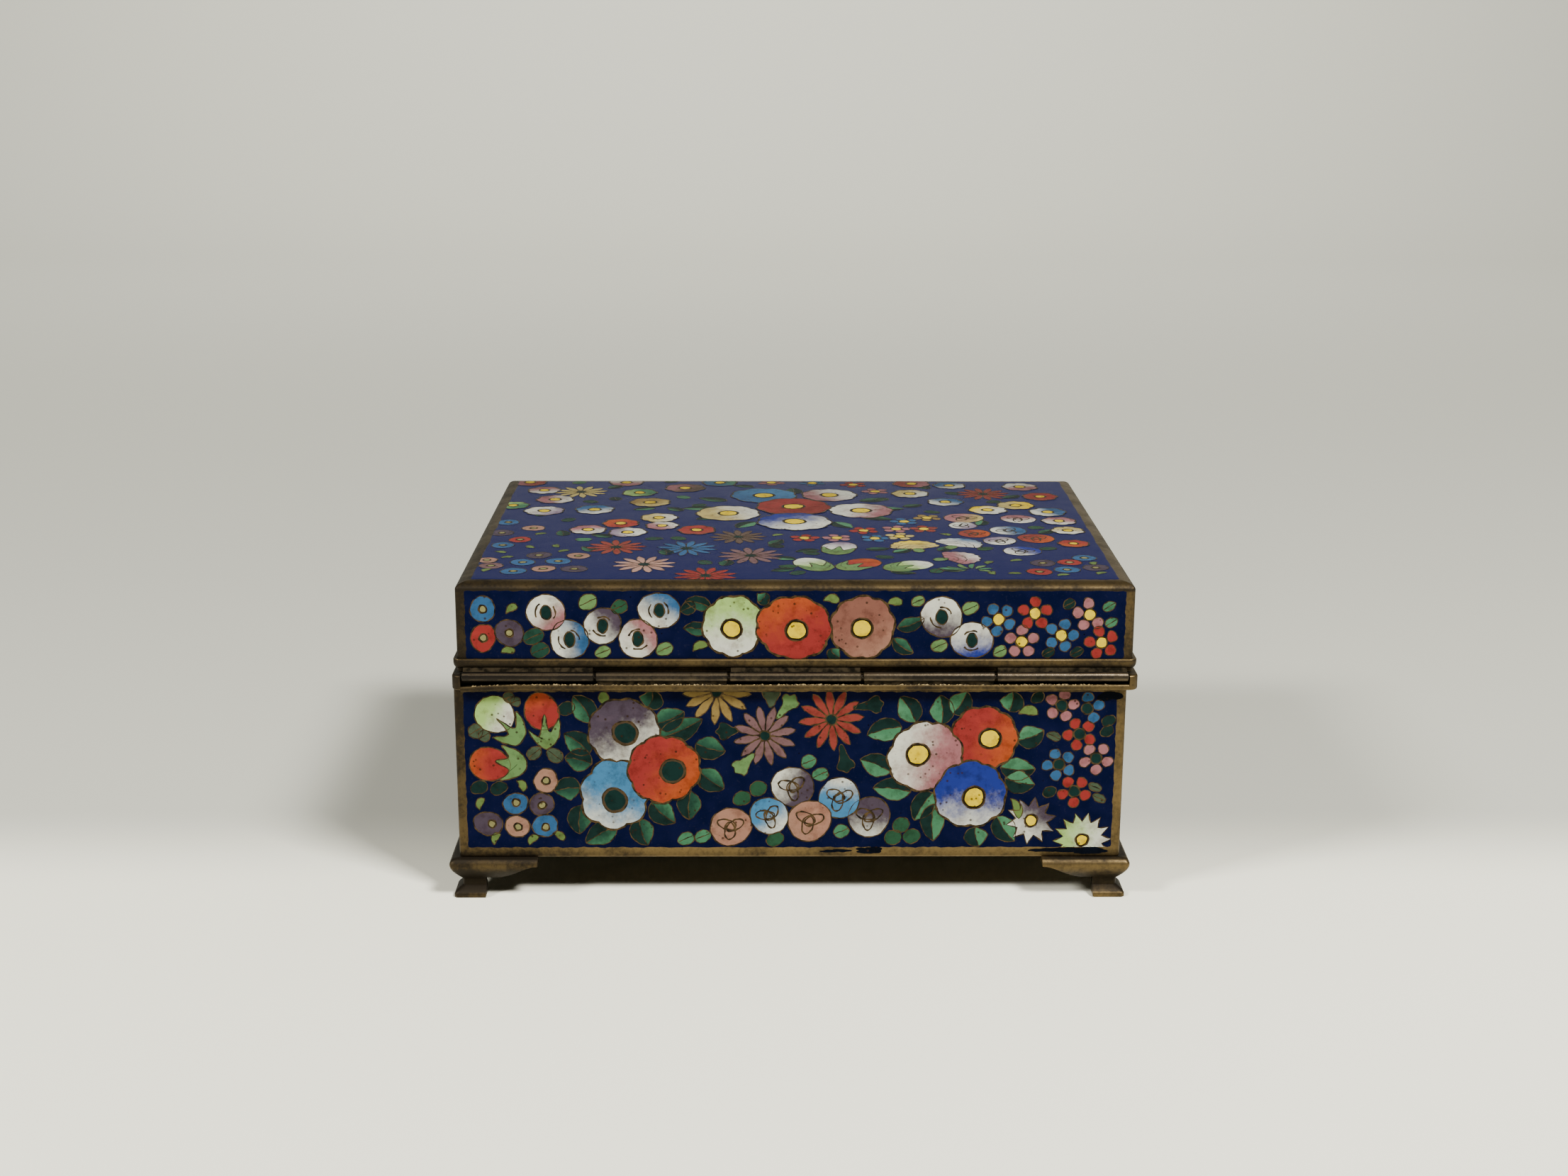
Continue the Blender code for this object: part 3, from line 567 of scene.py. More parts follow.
class Panel:
    """One enamelled face: its place on the box, and the cells and wires drawn on it so far."""

    def __init__(self, node, body, corner, across, up, size, crown=0.0, slide=(0, 0), mirror=False, dye=(),
                 rear_shade=0.0):
        self.node, self.body, self.size, self.crown, self.rear_shade = node, body, np.array(size), crown, rear_shade
        self.corner, self.across, self.up = (np.array(v, float) for v in (corner, across, up))
        self.slide, self.mirror, self.dye = np.array(slide, float), mirror, dict(dye)
        self.cells, self.wires = [], []

    def flatten(self, points, inside=True):
        """Waver what is drawn by four sine waves, slide and mirror it, and stop it at the panel's edges."""
        x, y = points[..., 0], points[..., 1]
        waver_x = np.sin(2.9 * y + 1.3 * x) + np.sin(6.1 * x - 3.7 * y)
        waver_y = np.sin(3.1 * x - 1.7 * y) + np.sin(5.3 * y + 4.3 * x)
        flat = points + HAND_WAVER * np.stack([waver_x, waver_y], -1) + self.slide
        if self.mirror:
            flat = flat * (-1, 1) + (self.size[0], 0)
        return np.clip(flat, 0.02, self.size - 0.02) if inside else flat

    def place(self, flat, lift):
        """Where points of the panel lie on the box; the crown is a product of two parabolas."""
        share = 2 * flat / self.size - 1
        swell = self.crown * np.prod(np.clip(1 - share**2, 0, 1), axis=-1)
        out = (lift + swell)[:, None] * np.cross(self.across, self.up)
        return MM * (self.corner + flat[:, :1] * self.across + flat[:, 1:] * self.up + out)

    def cell(self, points, tint, second=None, lean=(0, 0.0), layer=0, closed=True, inside=True):
        """Fill a (rows, columns, 2) grid of points; along the lean's angle the tint turns into the second.

        The blend is half the distance along that angle over the cell's reach, plus the lean's share.
        """
        middle = (points.min((0, 1)) + points.max((0, 1))) / 2
        blend = (points - middle) @ towards(lean[0]) / (np.abs(points - middle).max() + 1e-6) * 0.5 + lean[1]
        if second is None:
            blend = np.zeros_like(blend)
        tints = [GLASS[self.dye.get(name, name)] for name in (tint, second or tint)]
        lift = GROUND_LIFT + CELL_LIFT + LAYER_LIFT * layer + 0.0004 * (len(self.cells) % 12)
        lifts = np.full(points.shape[:2], lift)
        self.cells.append((self.flatten(points, inside), lifts, closed, tints, blend))

    def wire(self, line, closed=True, layer=0, width=WIRE):
        """Lay a wire along a line of points: a strip three rails wide, raised along its middle."""
        if closed:
            line = np.vstack([line, line[:1]])
        ahead = np.gradient(line, axis=0)
        if closed:
            ahead[0] = ahead[-1] = line[1] - line[-2]
        ahead = ahead / (np.linalg.norm(ahead, axis=1, keepdims=True) + 1e-9)
        side = ahead[:, ::-1] * (-1, 1)
        uneven = 1 + 0.22 * np.sin(np.arange(len(line)) * 1.3 + line[0, 0] * 5)
        reach = np.array([-0.5, 0, 0.5])[:, None] * width * uneven[:, None, None]
        rails = line[:, None] + side[:, None] * reach
        lift = GROUND_LIFT + CELL_LIFT + LAYER_LIFT * layer + WIRE_LIFT + WIRE_RISE * np.array([0, 1, 0])
        self.wires.append((self.flatten(rails), np.broadcast_to(lift, rails.shape[:2]), False))

    def shape(self, outline, tint, second=None, lean=(0, 0.0), layer=0, width=WIRE, middle=None, inside=True):
        """A wired cell of any outline that can be seen whole from its middle."""
        middle = outline.mean(0) if middle is None else np.array(middle, float)
        share = np.linspace(0, 1, 5)[:, None, None]
        self.cell(middle + share * (outline - middle), tint, second, lean, layer, inside=inside)
        if width:
            self.wire(outline, layer=layer, width=width)

    def blade(self, spine, reach, tint, second=None, lean=(0, 0.0), sides=(-1, 1), width=HAIR):
        """A wired cell that reaches out to each side of a spine by a width that changes along it."""
        ahead = np.gradient(spine, axis=0)
        side = ahead[:, ::-1] * (-1, 1) / (np.linalg.norm(ahead, axis=1, keepdims=True) + 1e-9)
        share = np.linspace(*sides, 5)[:, None, None]
        grid = spine + share * reach[:, None] * side
        self.cell(grid, tint, second, lean, closed=False)
        if width:
            self.wire(np.vstack([grid[-1], grid[0][::-1]]), width=width)
        return grid


def towards(degrees):
    """The unit vector at an angle."""
    return np.array([math.cos(math.radians(degrees)), math.sin(math.radians(degrees))])


def oval(middle, size, turn=0.0, steps=32, wobble=0.03):
    """An oval outline, its radius swelled by two sine waves as a hand-bent wire is."""
    angle = np.arange(steps) / steps * TAU
    phase = middle[0] * 1.7 + middle[1] * 2.3
    swell = 1 + wobble * (np.sin(2 * angle + phase) + 0.6 * np.sin(3 * angle + 2 * phase))
    flat = np.column_stack([np.cos(angle), np.sin(angle)]) * size * swell[:, None]
    across, up = towards(turn), towards(turn + 90)
    return np.array(middle, float) + flat[:, :1] * across + flat[:, 1:] * up


def through(points, steps=6):
    """A closed smooth outline through points, each stretch a Catmull-Rom cubic."""
    points = np.array(points, float)
    t = (np.arange(steps) / steps)[None, :, None]
    before, after, beyond = (np.roll(points, shift, 0)[:, None] for shift in (1, -1, -2))
    here = points[:, None]
    line = here + 0.5 * t * (after - before) + t**2 * (before - 2.5 * here + 2 * after - 0.5 * beyond)
    line = line + t**3 * (1.5 * (here - after) + 0.5 * (beyond - before))
    return line.reshape(-1, 2)


def eye(panel, middle, size, tint, ring=0.0, layer=0.5):
    """The eye of a flower: a round cell in a wire, with a ring of brown or black glass round it."""
    if ring:
        around = "bronze" if tint == "deep_green" else "soot"
        panel.shape(oval(middle, size + ring, steps=24), around, layer=layer)
        layer += 0.25
    panel.shape(oval(middle, size, steps=24), tint, layer=layer, width=0 if ring else WIRE)


def disc(panel, middle, size, tint, at=None):
    """A small oval flower with a straw-coloured eye."""
    panel.shape(oval(middle, size, wobble=0.04), tint)
    eye(panel, at or middle, 0.5, "straw", 0.2)


def flower(panel, middle, size, tint, second, lean, centre, at=None, layer=1, lobes=9, depth=0.075, turn=0.0):
    """A big round flower: its radius rises and falls by the root of a sine for each shallow scallop."""
    angle = np.arange(lobes * 9) / (lobes * 9) * TAU
    scallop = np.abs(np.sin(lobes / 2 * (angle - math.radians(turn)))) ** 0.8 - 0.6
    drift = 0.02 * np.sin(2 * angle + middle[0]) + 0.015 * np.sin(3 * angle + middle[1])
    outline = np.column_stack([np.cos(angle), np.sin(angle)]) * size * (1 + depth * scallop + drift)[:, None]
    panel.shape(outline + middle, tint, second, lean, layer, BOLD_WIRE, middle=middle)
    radius = np.min(size)
    share = 0.31 if centre == "deep_green" else 0.27
    eye(panel, at or middle, min(1.75, radius * share), centre, min(0.4, radius * 0.08), layer + 0.5)


def leaf(panel, base, tip, tint, width=2.0):
    """A leaf in two halves on one bowed midrib, the left one bright: each half is a sine arch wide."""
    base, along = np.array(base, float), np.subtract(tip, base)
    side = along[::-1] * (-1, 1) / np.linalg.norm(along)
    t = np.linspace(0, 1, 17)
    spine = base + t[:, None] * along - side * (0.3 * np.sin(math.pi * t))[:, None]
    arch = width * np.sin(math.pi * t**0.85) ** 0.75
    pale = {"leaf": "mint", "mint": "pale_mint"}.get(tint, tint)
    outward = math.degrees(math.atan2(side[1], side[0]))
    for sign, shade, second, share in ((1, tint, pale, 1.05), (-1, "dark_leaf", "dark_leaf", 0.95)):
        grid = panel.blade(spine, arch * share, shade, second, (outward, 0.3), (0, sign), width=0)
        panel.wire(grid[-1], closed=False, width=HAIR)
    panel.wire(spine, closed=False, width=HAIR)


def crescent(panel, base, tip, width, bow, tint):
    """A curved leaf: a spine bowed to its left by a sine arch, widest near its head."""
    base, along = np.array(base, float), np.subtract(tip, base)
    side = along[::-1] * (-1, 1) / np.linalg.norm(along)
    t = np.linspace(0, 1, 13)
    spine = base + t[:, None] * along + side * (bow * np.sin(math.pi * t))[:, None]
    panel.blade(spine, width / 2 * np.sin(math.pi * t**1.3) ** 0.6, tint)


def comma(panel, middle, angle, tint="lime", size=1.1):
    """A short curved leaf about its middle."""
    reach = size * towards(angle)
    crescent(panel, np.subtract(middle, reach), np.add(middle, reach), size * 1.15, 0.45 * size, tint)


def placed(middle, axis, offsets, size=1.0):
    """Points given as (ahead, aside) pairs from a middle along an axis."""
    offsets = size * np.array(offsets)
    return np.array(middle) + offsets[:, :1] * towards(axis) + offsets[:, 1:] * towards(axis + 90)


def trumpet(panel, head, stem, tint, size=1.6):
    """A leaf whose head spreads in three lobes and that narrows to its stem."""
    along = np.subtract(head, stem)
    reach = np.linalg.norm(along) / size
    half = ((0.2 - reach, 0.2), (-0.75, 0.5), (-0.1, 0.9), (0.4, 0.85), (0.5, 0.45))
    offsets = [*half, (0.85, 0.0), *((ahead, -aside) for ahead, aside in half[::-1])]
    outline = through(placed(head, math.degrees(math.atan2(along[1], along[0])), offsets, size))
    panel.shape(outline, tint, width=HAIR, middle=np.array(head) - 0.1 * along)


def sprig(panel, middle, size, tint, turn=0.0, vein=True):
    """A small oval leaf with a vein along it."""
    panel.shape(oval(middle, size, turn), tint, width=HAIR)
    if vein:
        share = np.linspace(-0.9, 0.9, 7)[:, None]
        panel.wire(middle + share * np.max(size) * towards(turn), closed=False, width=HAIR)


def aster(panel, middle, radius, tint, start=0.0, angles=None):
    """A chrysanthemum: spindle petals, each a sine arch that is widest past its middle, round a green eye."""
    for angle in angles or np.arange(12) * 30.0 + start:
        t = np.linspace(0, 1, 13)
        spine = np.array(middle) + (0.14 + 0.86 * t[:, None]) * radius * towards(angle)
        reach = radius * (0.115 * np.sin(math.pi * t**1.35) ** 0.7 + 0.025 * (1 - t))
        panel.blade(spine, reach, tint)
    eye(panel, middle, radius * 0.15, "deep_green", 0.12)


def ball(panel, middle, size, tint, second, lean, loops=True, layer=0, turn=20.0):
    """A round flower crossed by three long loops of wire, or with a green eye and short arcs."""
    panel.shape(oval(middle, size), tint, second, lean, layer)
    radius = float(np.min(size))
    if loops:
        for angle in (turn, turn + 125, turn + 235):
            loop_middle = np.array(middle) + 0.22 * radius * towards(angle)
            line = oval(loop_middle, (radius * 0.46, radius * 0.25), angle + 12, 28, 0.05)
            panel.wire(line, layer=layer + 0.25, width=LOOP_WIRE)
        return
    eye(panel, middle, np.array([0.28, 0.4]) * radius, "deep_green", 0, layer + 0.5)
    for angle, reach in ((turn, 0.5), (turn + 165, 0.55)):
        arc = np.radians(np.linspace(angle - 42, angle + 42, 11))
        line = np.array(middle) + reach * radius * np.column_stack([np.cos(arc), np.sin(arc)])
        panel.wire(line, closed=False, layer=layer + 0.25, width=LOOP_WIRE)


def bud(panel, middle, size, axis, tint, second, lean, calyx, centre, turn):
    """A closed flower: an oval, and the three-pointed green calyx that holds it."""
    panel.shape(oval(middle, size, axis), tint, second, lean)
    panel.shape(through(calyx), "sage", "lime", (turn + 180, 0.1), 0.5, middle=centre)


def star(panel, middle, outer, inner, points, tint, second, lean, turn):
    """A spiky flower: its outline runs between points on an outer and an inner circle."""
    angle = np.radians(np.arange(points * 2) * 180.0 / points + turn)
    radius = np.where(np.arange(points * 2) % 2 == 0, outer, inner)
    corners = np.array(middle) + radius[:, None] * np.column_stack([np.cos(angle), np.sin(angle)])
    share = np.linspace(0, 1, 4)[:-1, None]
    outline = (corners[:, None] + share * (np.roll(corners, -1, 0) - corners)[:, None]).reshape(-1, 2)
    panel.shape(outline, tint, second, lean, middle=middle)
    eye(panel, middle, 0.85, "yellow", 0.28)


def blossom(panel, middle, tint, start, petal=0.93, reach=1.95, centre="deep_green", skip=()):
    """A little flower of five round petals set round an eye."""
    for number in range(5):
        if number not in skip:
            at = np.array(middle) + reach * towards(start + number * 72)
            panel.shape(oval(at, petal, steps=20, wobble=0.05), tint, width=HAIR)
    eye(panel, middle, 0.85, centre, 0.15, 0.25)


def carnation(panel, middle, size, tint, second, axis):
    """A fan of ragged petals over a green cup, with arcs of wire that part the petals."""
    angle = np.linspace(-100, 100, 45) + axis
    ragged = 1 + 0.09 * np.abs(np.sin(np.linspace(0, 9 * math.pi, 45)))
    cup = np.array(middle) - size * 0.5 * towards(axis)
    fan = np.array([towards(a) for a in angle]) * ragged[:, None] * size
    heart = cup + 0.3 * towards(axis)
    panel.shape(np.vstack([fan + middle, [cup]]), tint, second, (axis, 0.3), middle=heart)
    for reach in (0.45, 0.7):
        panel.wire(cup + fan[6:-6:2] * reach * 1.25, closed=False, width=HAIR)
    foot_of_cup = cup - size * 0.18 * towards(axis)
    panel.shape(oval(foot_of_cup, (size * 0.34, size * 0.26), axis), "sage", layer=0.5)


def hinge_side_base(panel):
    """Buds and discs, a trio with green eyes, asters and balls, a trio with yellow eyes, blossoms."""
    calyx = [(8.2, 23.9), (7.9, 21), (5, 22.7), (6.9, 20), (4.3, 19.4), (8, 18), (9.7, 20), (9.3, 22.4)]
    bud(panel, (4.7, 23.4), (3.4, 3.1), 131, "pale_green", "white", (-30, 0.4), calyx, (8.1, 19.6), 40)
    calyx = [(10.2, 20.7), (11.9, 19.6), (12.8, 23.4), (13.6, 20.3)]
    calyx += [(15.2, 22.7), (15.1, 19.4), (13.05, 17.4), (11, 19)]
    bud(panel, (12.4, 23.9), (3.2, 2.9), 97, "red", "orange", (110, 0.2), calyx, (13.05, 18.9), 90)
    calyx = [(5.7, 18), (6.8, 16), (4.6, 15.3), (6.8, 13.7), (5.3, 12), (8.5, 12.8), (9.8, 14.8), (8.5, 17)]
    bud(panel, (3.6, 14.8), (3.3, 3.0), 180, "red", "orange", (180, 0.25), calyx, (8.3, 14.9), 0)
    for middle, size, turn in (
        ((1.5, 20.5), 1.25, 30), ((2.9, 19.7), 1.0, 30), ((7.1, 26.3), 0.95, 20), ((8.2, 25.6), 0.85, 20),
        ((11.0, 16.7), (1.35, 1.05), 40), ((14.4, 16.3), (1.5, 1.15), -40),
    ):
        sprig(panel, middle, size, "grey_green", turn)
    for middle in ((16.4, 24.4), (1.8, 10.75), (5.0, 10.6)):
        sprig(panel, middle, (1.45, 1.15), "dark_leaf", 25, vein=False)
    disc(panel, (12.8, 11.9), 2.05, "pink")
    disc(panel, (7.7, 7.9), (2.1, 1.85), "sky", (7.8, 8.1))
    disc(panel, (12.0, 7.8), 2.0, "purple", (12.1, 7.6))
    disc(panel, (3.1, 4.4), (2.4, 2.1), "purple", (3.75, 4.35))
    disc(panel, (7.9, 3.9), (2.1, 1.85), "pink", (8.0, 3.8))
    disc(panel, (12.5, 4.0), (2.2, 1.9), "sky", (12.55, 3.75))
    for middle, angle in (
        ((8.5, 11.0), -60), ((2.2, 7.8), 70), ((4.5, 1.6), 60), ((10.6, 1.3), 40), ((14.6, 2.0), -35),
    ):
        comma(panel, middle, angle)
    for base, tip in (
        ((20.6, 22.0), (17.6, 26.6)), ((20.1, 16.6), (16.0, 20.1)), ((20.4, 14.8), (16.0, 15.9)),
        ((18.5, 10.6), (14.2, 10.05)), ((18.6, 7.6), (18.2, 2.55)), ((24.4, 3.9), (19.2, 0.9)),
        ((28.1, 5.3), (29.4, 0.5)), ((30.1, 8.1), (34.0, 4.5)), ((36.7, 10.1), (36.4, 5.05)),
        ((38.0, 13.7), (42.2, 10.5)), ((37.5, 18.4), (42.4, 17.0)), ((31.4, 19.2), (38.6, 22.6)),
        ((30.8, 21.7), (35.7, 23.9)), ((29.7, 24.5), (30.6, 27.5)),
    ):
        leaf(panel, base, tip, "leaf")
    comma(panel, (23.3, 26.2), 120, size=1.5)
    for middle, size, tint, second, lean, at, layer, lobes, depth, turn in (
        ((25.7, 20.5), (5.75, 5.6), "purple", "white", (-62, 0.3), (26.0, 20.2), 1, 9, 0.075, 15),
        ((24.1, 9.5), (5.65, 5.9), "pale_sky", "white", (-112, 0.2), (24.1, 8.5), 2, 7, 0.12, 35),
        ((32.25, 13.9), 5.85, "red", "orange", (-30, 0.4), (33.7, 13.6), 3, 9, 0.075, 5),
    ):
        flower(panel, middle, size, tint, second, lean, "deep_green", at, layer, lobes, depth, turn)
    aster(panel, (41.05, 27.2), 5.6, "ochre", angles=(183, 205, 231, 266, 295, 329, 357))
    aster(panel, (48.9, 19.7), 5.2, "dusk", 12)
    aster(panel, (59.8, 22.5), 5.4, "coral", 5)
    for head, stem, tint in (
        ((44.9, 14.2), (47.2, 16.7), "sage"), ((53.05, 25.6), (50.8, 22.6), "sage"),
        ((49.9, 26.9), (49.9, 24.4), "grey_green"), ((67.0, 25.1), (63.3, 24.5), "dark_leaf"),
        ((62.2, 14.6), (61.4, 18.2), "dark_leaf"), ((42.2, 20.5), (44.7, 20.6), "dark_leaf"),
    ):
        trumpet(panel, head, stem, tint)
    for middle, size, tint, second, lean, layer in (
        ((53.5, 10.8), 3.5, "purple", "white", (150, 0.32), 0),
        ((43.25, 3.8), 3.4, "salmon", "pink", (150, 0.2), 0.5),
        ((49.6, 5.75), 3.2, "pale_sky", "white", (-50, 0.3), 1),
        ((61.2, 8.85), 3.5, "pale_sky", "white", (85, 0.2), 0.5),
        ((66.2, 5.55), 3.5, "purple", "white", (-95, 0.22), 0),
        ((56.3, 4.85), 3.6, "salmon", "pink", (200, 0.2), 1.5),
    ):
        ball(panel, middle, size, tint, second, lean, layer=layer, turn=middle[0] * 13 % 60)
    for middle in ((56.1, 15.2), (58.05, 13.0), (35.8, 1.7), (38.6, 2.1), (61.6, 3.0)):
        sprig(panel, middle, (1.35, 1.15), "mint", 25)
    for middle in ((47.8, 10.5), (45.1, 8.8), (50.6, 1.6), (71.5, 4.1), (70.2, 1.9), (73.3, 2.1)):
        sprig(panel, middle, (1.5, 1.25), "fern", 30, vein=False)
    for base, tip in (
        ((73.6, 22.0), (71.0, 26.4)), ((77.9, 21.7), (77.5, 26.7)), ((79.7, 23.5), (81.9, 27.3)),
        ((88.9, 23.9), (89.4, 27.3)), ((90.4, 18.9), (94.7, 20.6)), ((87.8, 14.2), (93.6, 13.9)),
        ((88.6, 12.3), (93.5, 11.2)), ((87.4, 5.6), (90.4, 1.2)), ((83.9, 3.7), (84.6, 0.3)),
        ((76.9, 7.8), (76.9, 1.3)), ((76.7, 9.8), (73.75, 4.9)), ((73.05, 9.9), (66.8, 10.6)),
        ((69.7, 13.4), (64.6, 15.6)), ((71.4, 21.2), (65.7, 19.8)),
    ):
        leaf(panel, base, tip, "mint")
    crescent(panel, (90.5, 23.5), (93.6, 23.4), 1.7, 0.7, "lime")
    crescent(panel, (89.6, 8.8), (91.0, 5.2), 1.5, 0.5, "lime")
    flower(panel, (85.0, 19.3), 5.4, "red", "orange", (-20, 0.34), "yellow", (85.9, 19.2), 1, turn=20)
    flower(panel, (75.35, 16.05), (6.15, 5.95), "white", "rose", (-15, 0.55), "yellow", (74.1, 16.45), 2)
    flower(panel, (82.9, 9.5), 5.8, "royal", "white", (-92, 0.2), "yellow", (83.5, 8.95), 3, turn=30)
    star(panel, (93.1, 4.85), 4.2, 2.6, 10, "purple", "white", (-125, 0.45), 10)
    star(panel, (101.7, 1.4), 4.9, 3.3, 14, "pale_green", "white", (-20, 0.5), 2)
    for middle, tint, start, skip in (
        ((97.5, 24.9), "rose", 5, ()), ((101.7, 24.4), "sky", 17, (2, 3)), ((100.6, 20.0), "red", 42, ()),
        ((97.4, 14.7), "sky", 40, ()), ((103.5, 15.75), "rose", 55, ()), ((100.1, 10.0), "red", 52, ()),
    ):
        blossom(panel, middle, tint, start, skip=skip)
    for middle in ((96.4, 19.6), (103.5, 10.75), (104.3, 8.8)):
        sprig(panel, middle, (1.15, 0.75), "grey_green", -25)
    for middle in ((93.5, 26.3), (96.0, 9.9), (105.3, 22.3), (105.1, 20.5)):
        sprig(panel, middle, (1.2, 0.9), "dark_leaf", 30, vein=False)


def hinge_side_lid(panel):
    """Discs and balls, three scalloped flowers in the middle, two more balls, and blossoms."""
    disc(panel, (2.6, 8.4), 2.1, "sky")
    disc(panel, (2.55, 3.55), (2.05, 2.35), "red")
    disc(panel, (6.8, 4.4), 2.3, "purple")
    comma(panel, (7.4, 8.2), 30)
    comma(panel, (6.5, 1.1), 0)
    for middle, size, tint, second, lean, turn in (
        ((12.8, 7.85), 3.1, "white", "rose", (-50, 0.4), 0),
        ((16.5, 3.3), 3.2, "white", "sky", (10, 0.5), 40),
        ((21.9, 5.6), 3.05, "white", "purple", (45, 0.5), 80),
        ((27.6, 3.4), 3.2, "white", "rose", (45, 0.45), 120),
        ((31.1, 8.2), (3.4, 3.0), "white", "sky", (60, 0.5), 20),
        ((76.8, 7.1), (3.3, 3.5), "white", "purple", (-90, 0.42), 60),
        ((81.8, 3.2), (3.4, 3.1), "white", "royal", (-80, 0.42), 100),
    ):
        ball(panel, middle, size, tint, second, lean, loops=False, turn=turn)
    for middle, size, tint in (
        ((19.6, 9.6), 1.6, "sage"), ((21.9, 1.2), 1.3, "sage"), ((31.9, 1.7), 1.4, "sage"),
        ((24.7, 8.8), 1.4, "fern"), ((10.7, 3.8), 1.7, "leaf"), ((11.7, 1.5), 1.6, "leaf"),
        ((35.8, 8.6), 1.3, "dark_leaf"), ((72.9, 9.75), 1.1, "sage"), ((81.4, 8.6), 1.35, "sage"),
        ((76.5, 2.25), 1.35, "sage"), ((86.4, 1.3), 1.2, "sage"),
    ):
        sprig(panel, middle, (size, size * 0.8), tint, 25)
    for base, tip in (
        ((39.5, 8.6), (35.3, 9.8)), ((39.0, 4.6), (35.0, 5.2)), ((69.6, 5.3), (74.0, 6.9)),
        ((69.0, 3.5), (72.3, 1.0)), ((47.0, 9.6), (48.4, 11.2)), ((58.9, 1.8), (60.4, 0.2)),
    ):
        leaf(panel, base, tip, "leaf", width=1.2)
    comma(panel, (37.7, 1.8), 20, size=1.3)
    flower(panel, (43, 5.6), (4.95, 5), "pale_green", "white", (-90, 0.45), "yellow", (42.8, 5.1), 1, turn=10)
    flower(panel, (64.0, 5.4), (5.1, 5.3), "clay", "salmon", (-60, 0.2), "yellow", (63.9, 5.2), 1, turn=30)
    flower(panel, (52.9, 5.3), (6.0, 5.3), "red", "orange", (115, 0.3), "yellow", (53.3, 4.85), 2, turn=15)
    crescent(panel, (57.6, 9.9), (60.2, 9.6), 1.5, 0.5, "lime")
    crescent(panel, (68.0, 9.3), (70.4, 9.2), 1.4, 0.5, "lime")
    for middle, tint, start, skip in (
        ((86.05, 6.7), "sky", 47, ()), ((91.9, 7.7), "red", 18, ()), ((89.9, 2.95), "rose", 18, ()),
        ((96.3, 4.0), "sky", 2, ()), ((100.8, 7.5), "rose", 98, (4,)), ((102.9, 2.8), "red", 32, ()),
    ):
        blossom(panel, middle, tint, start, centre="yellow", skip=skip)
    for middle, tint in (
        ((103.9, 8.9), "mint"), ((104.4, 6.2), "mint"), ((97.4, 9.3), "dark_leaf"),
        ((94.3, 1.1), "dark_leaf"), ((98.9, 1.2), "dark_leaf"),
    ):
        sprig(panel, middle, (1.1, 0.8), tint, 30)


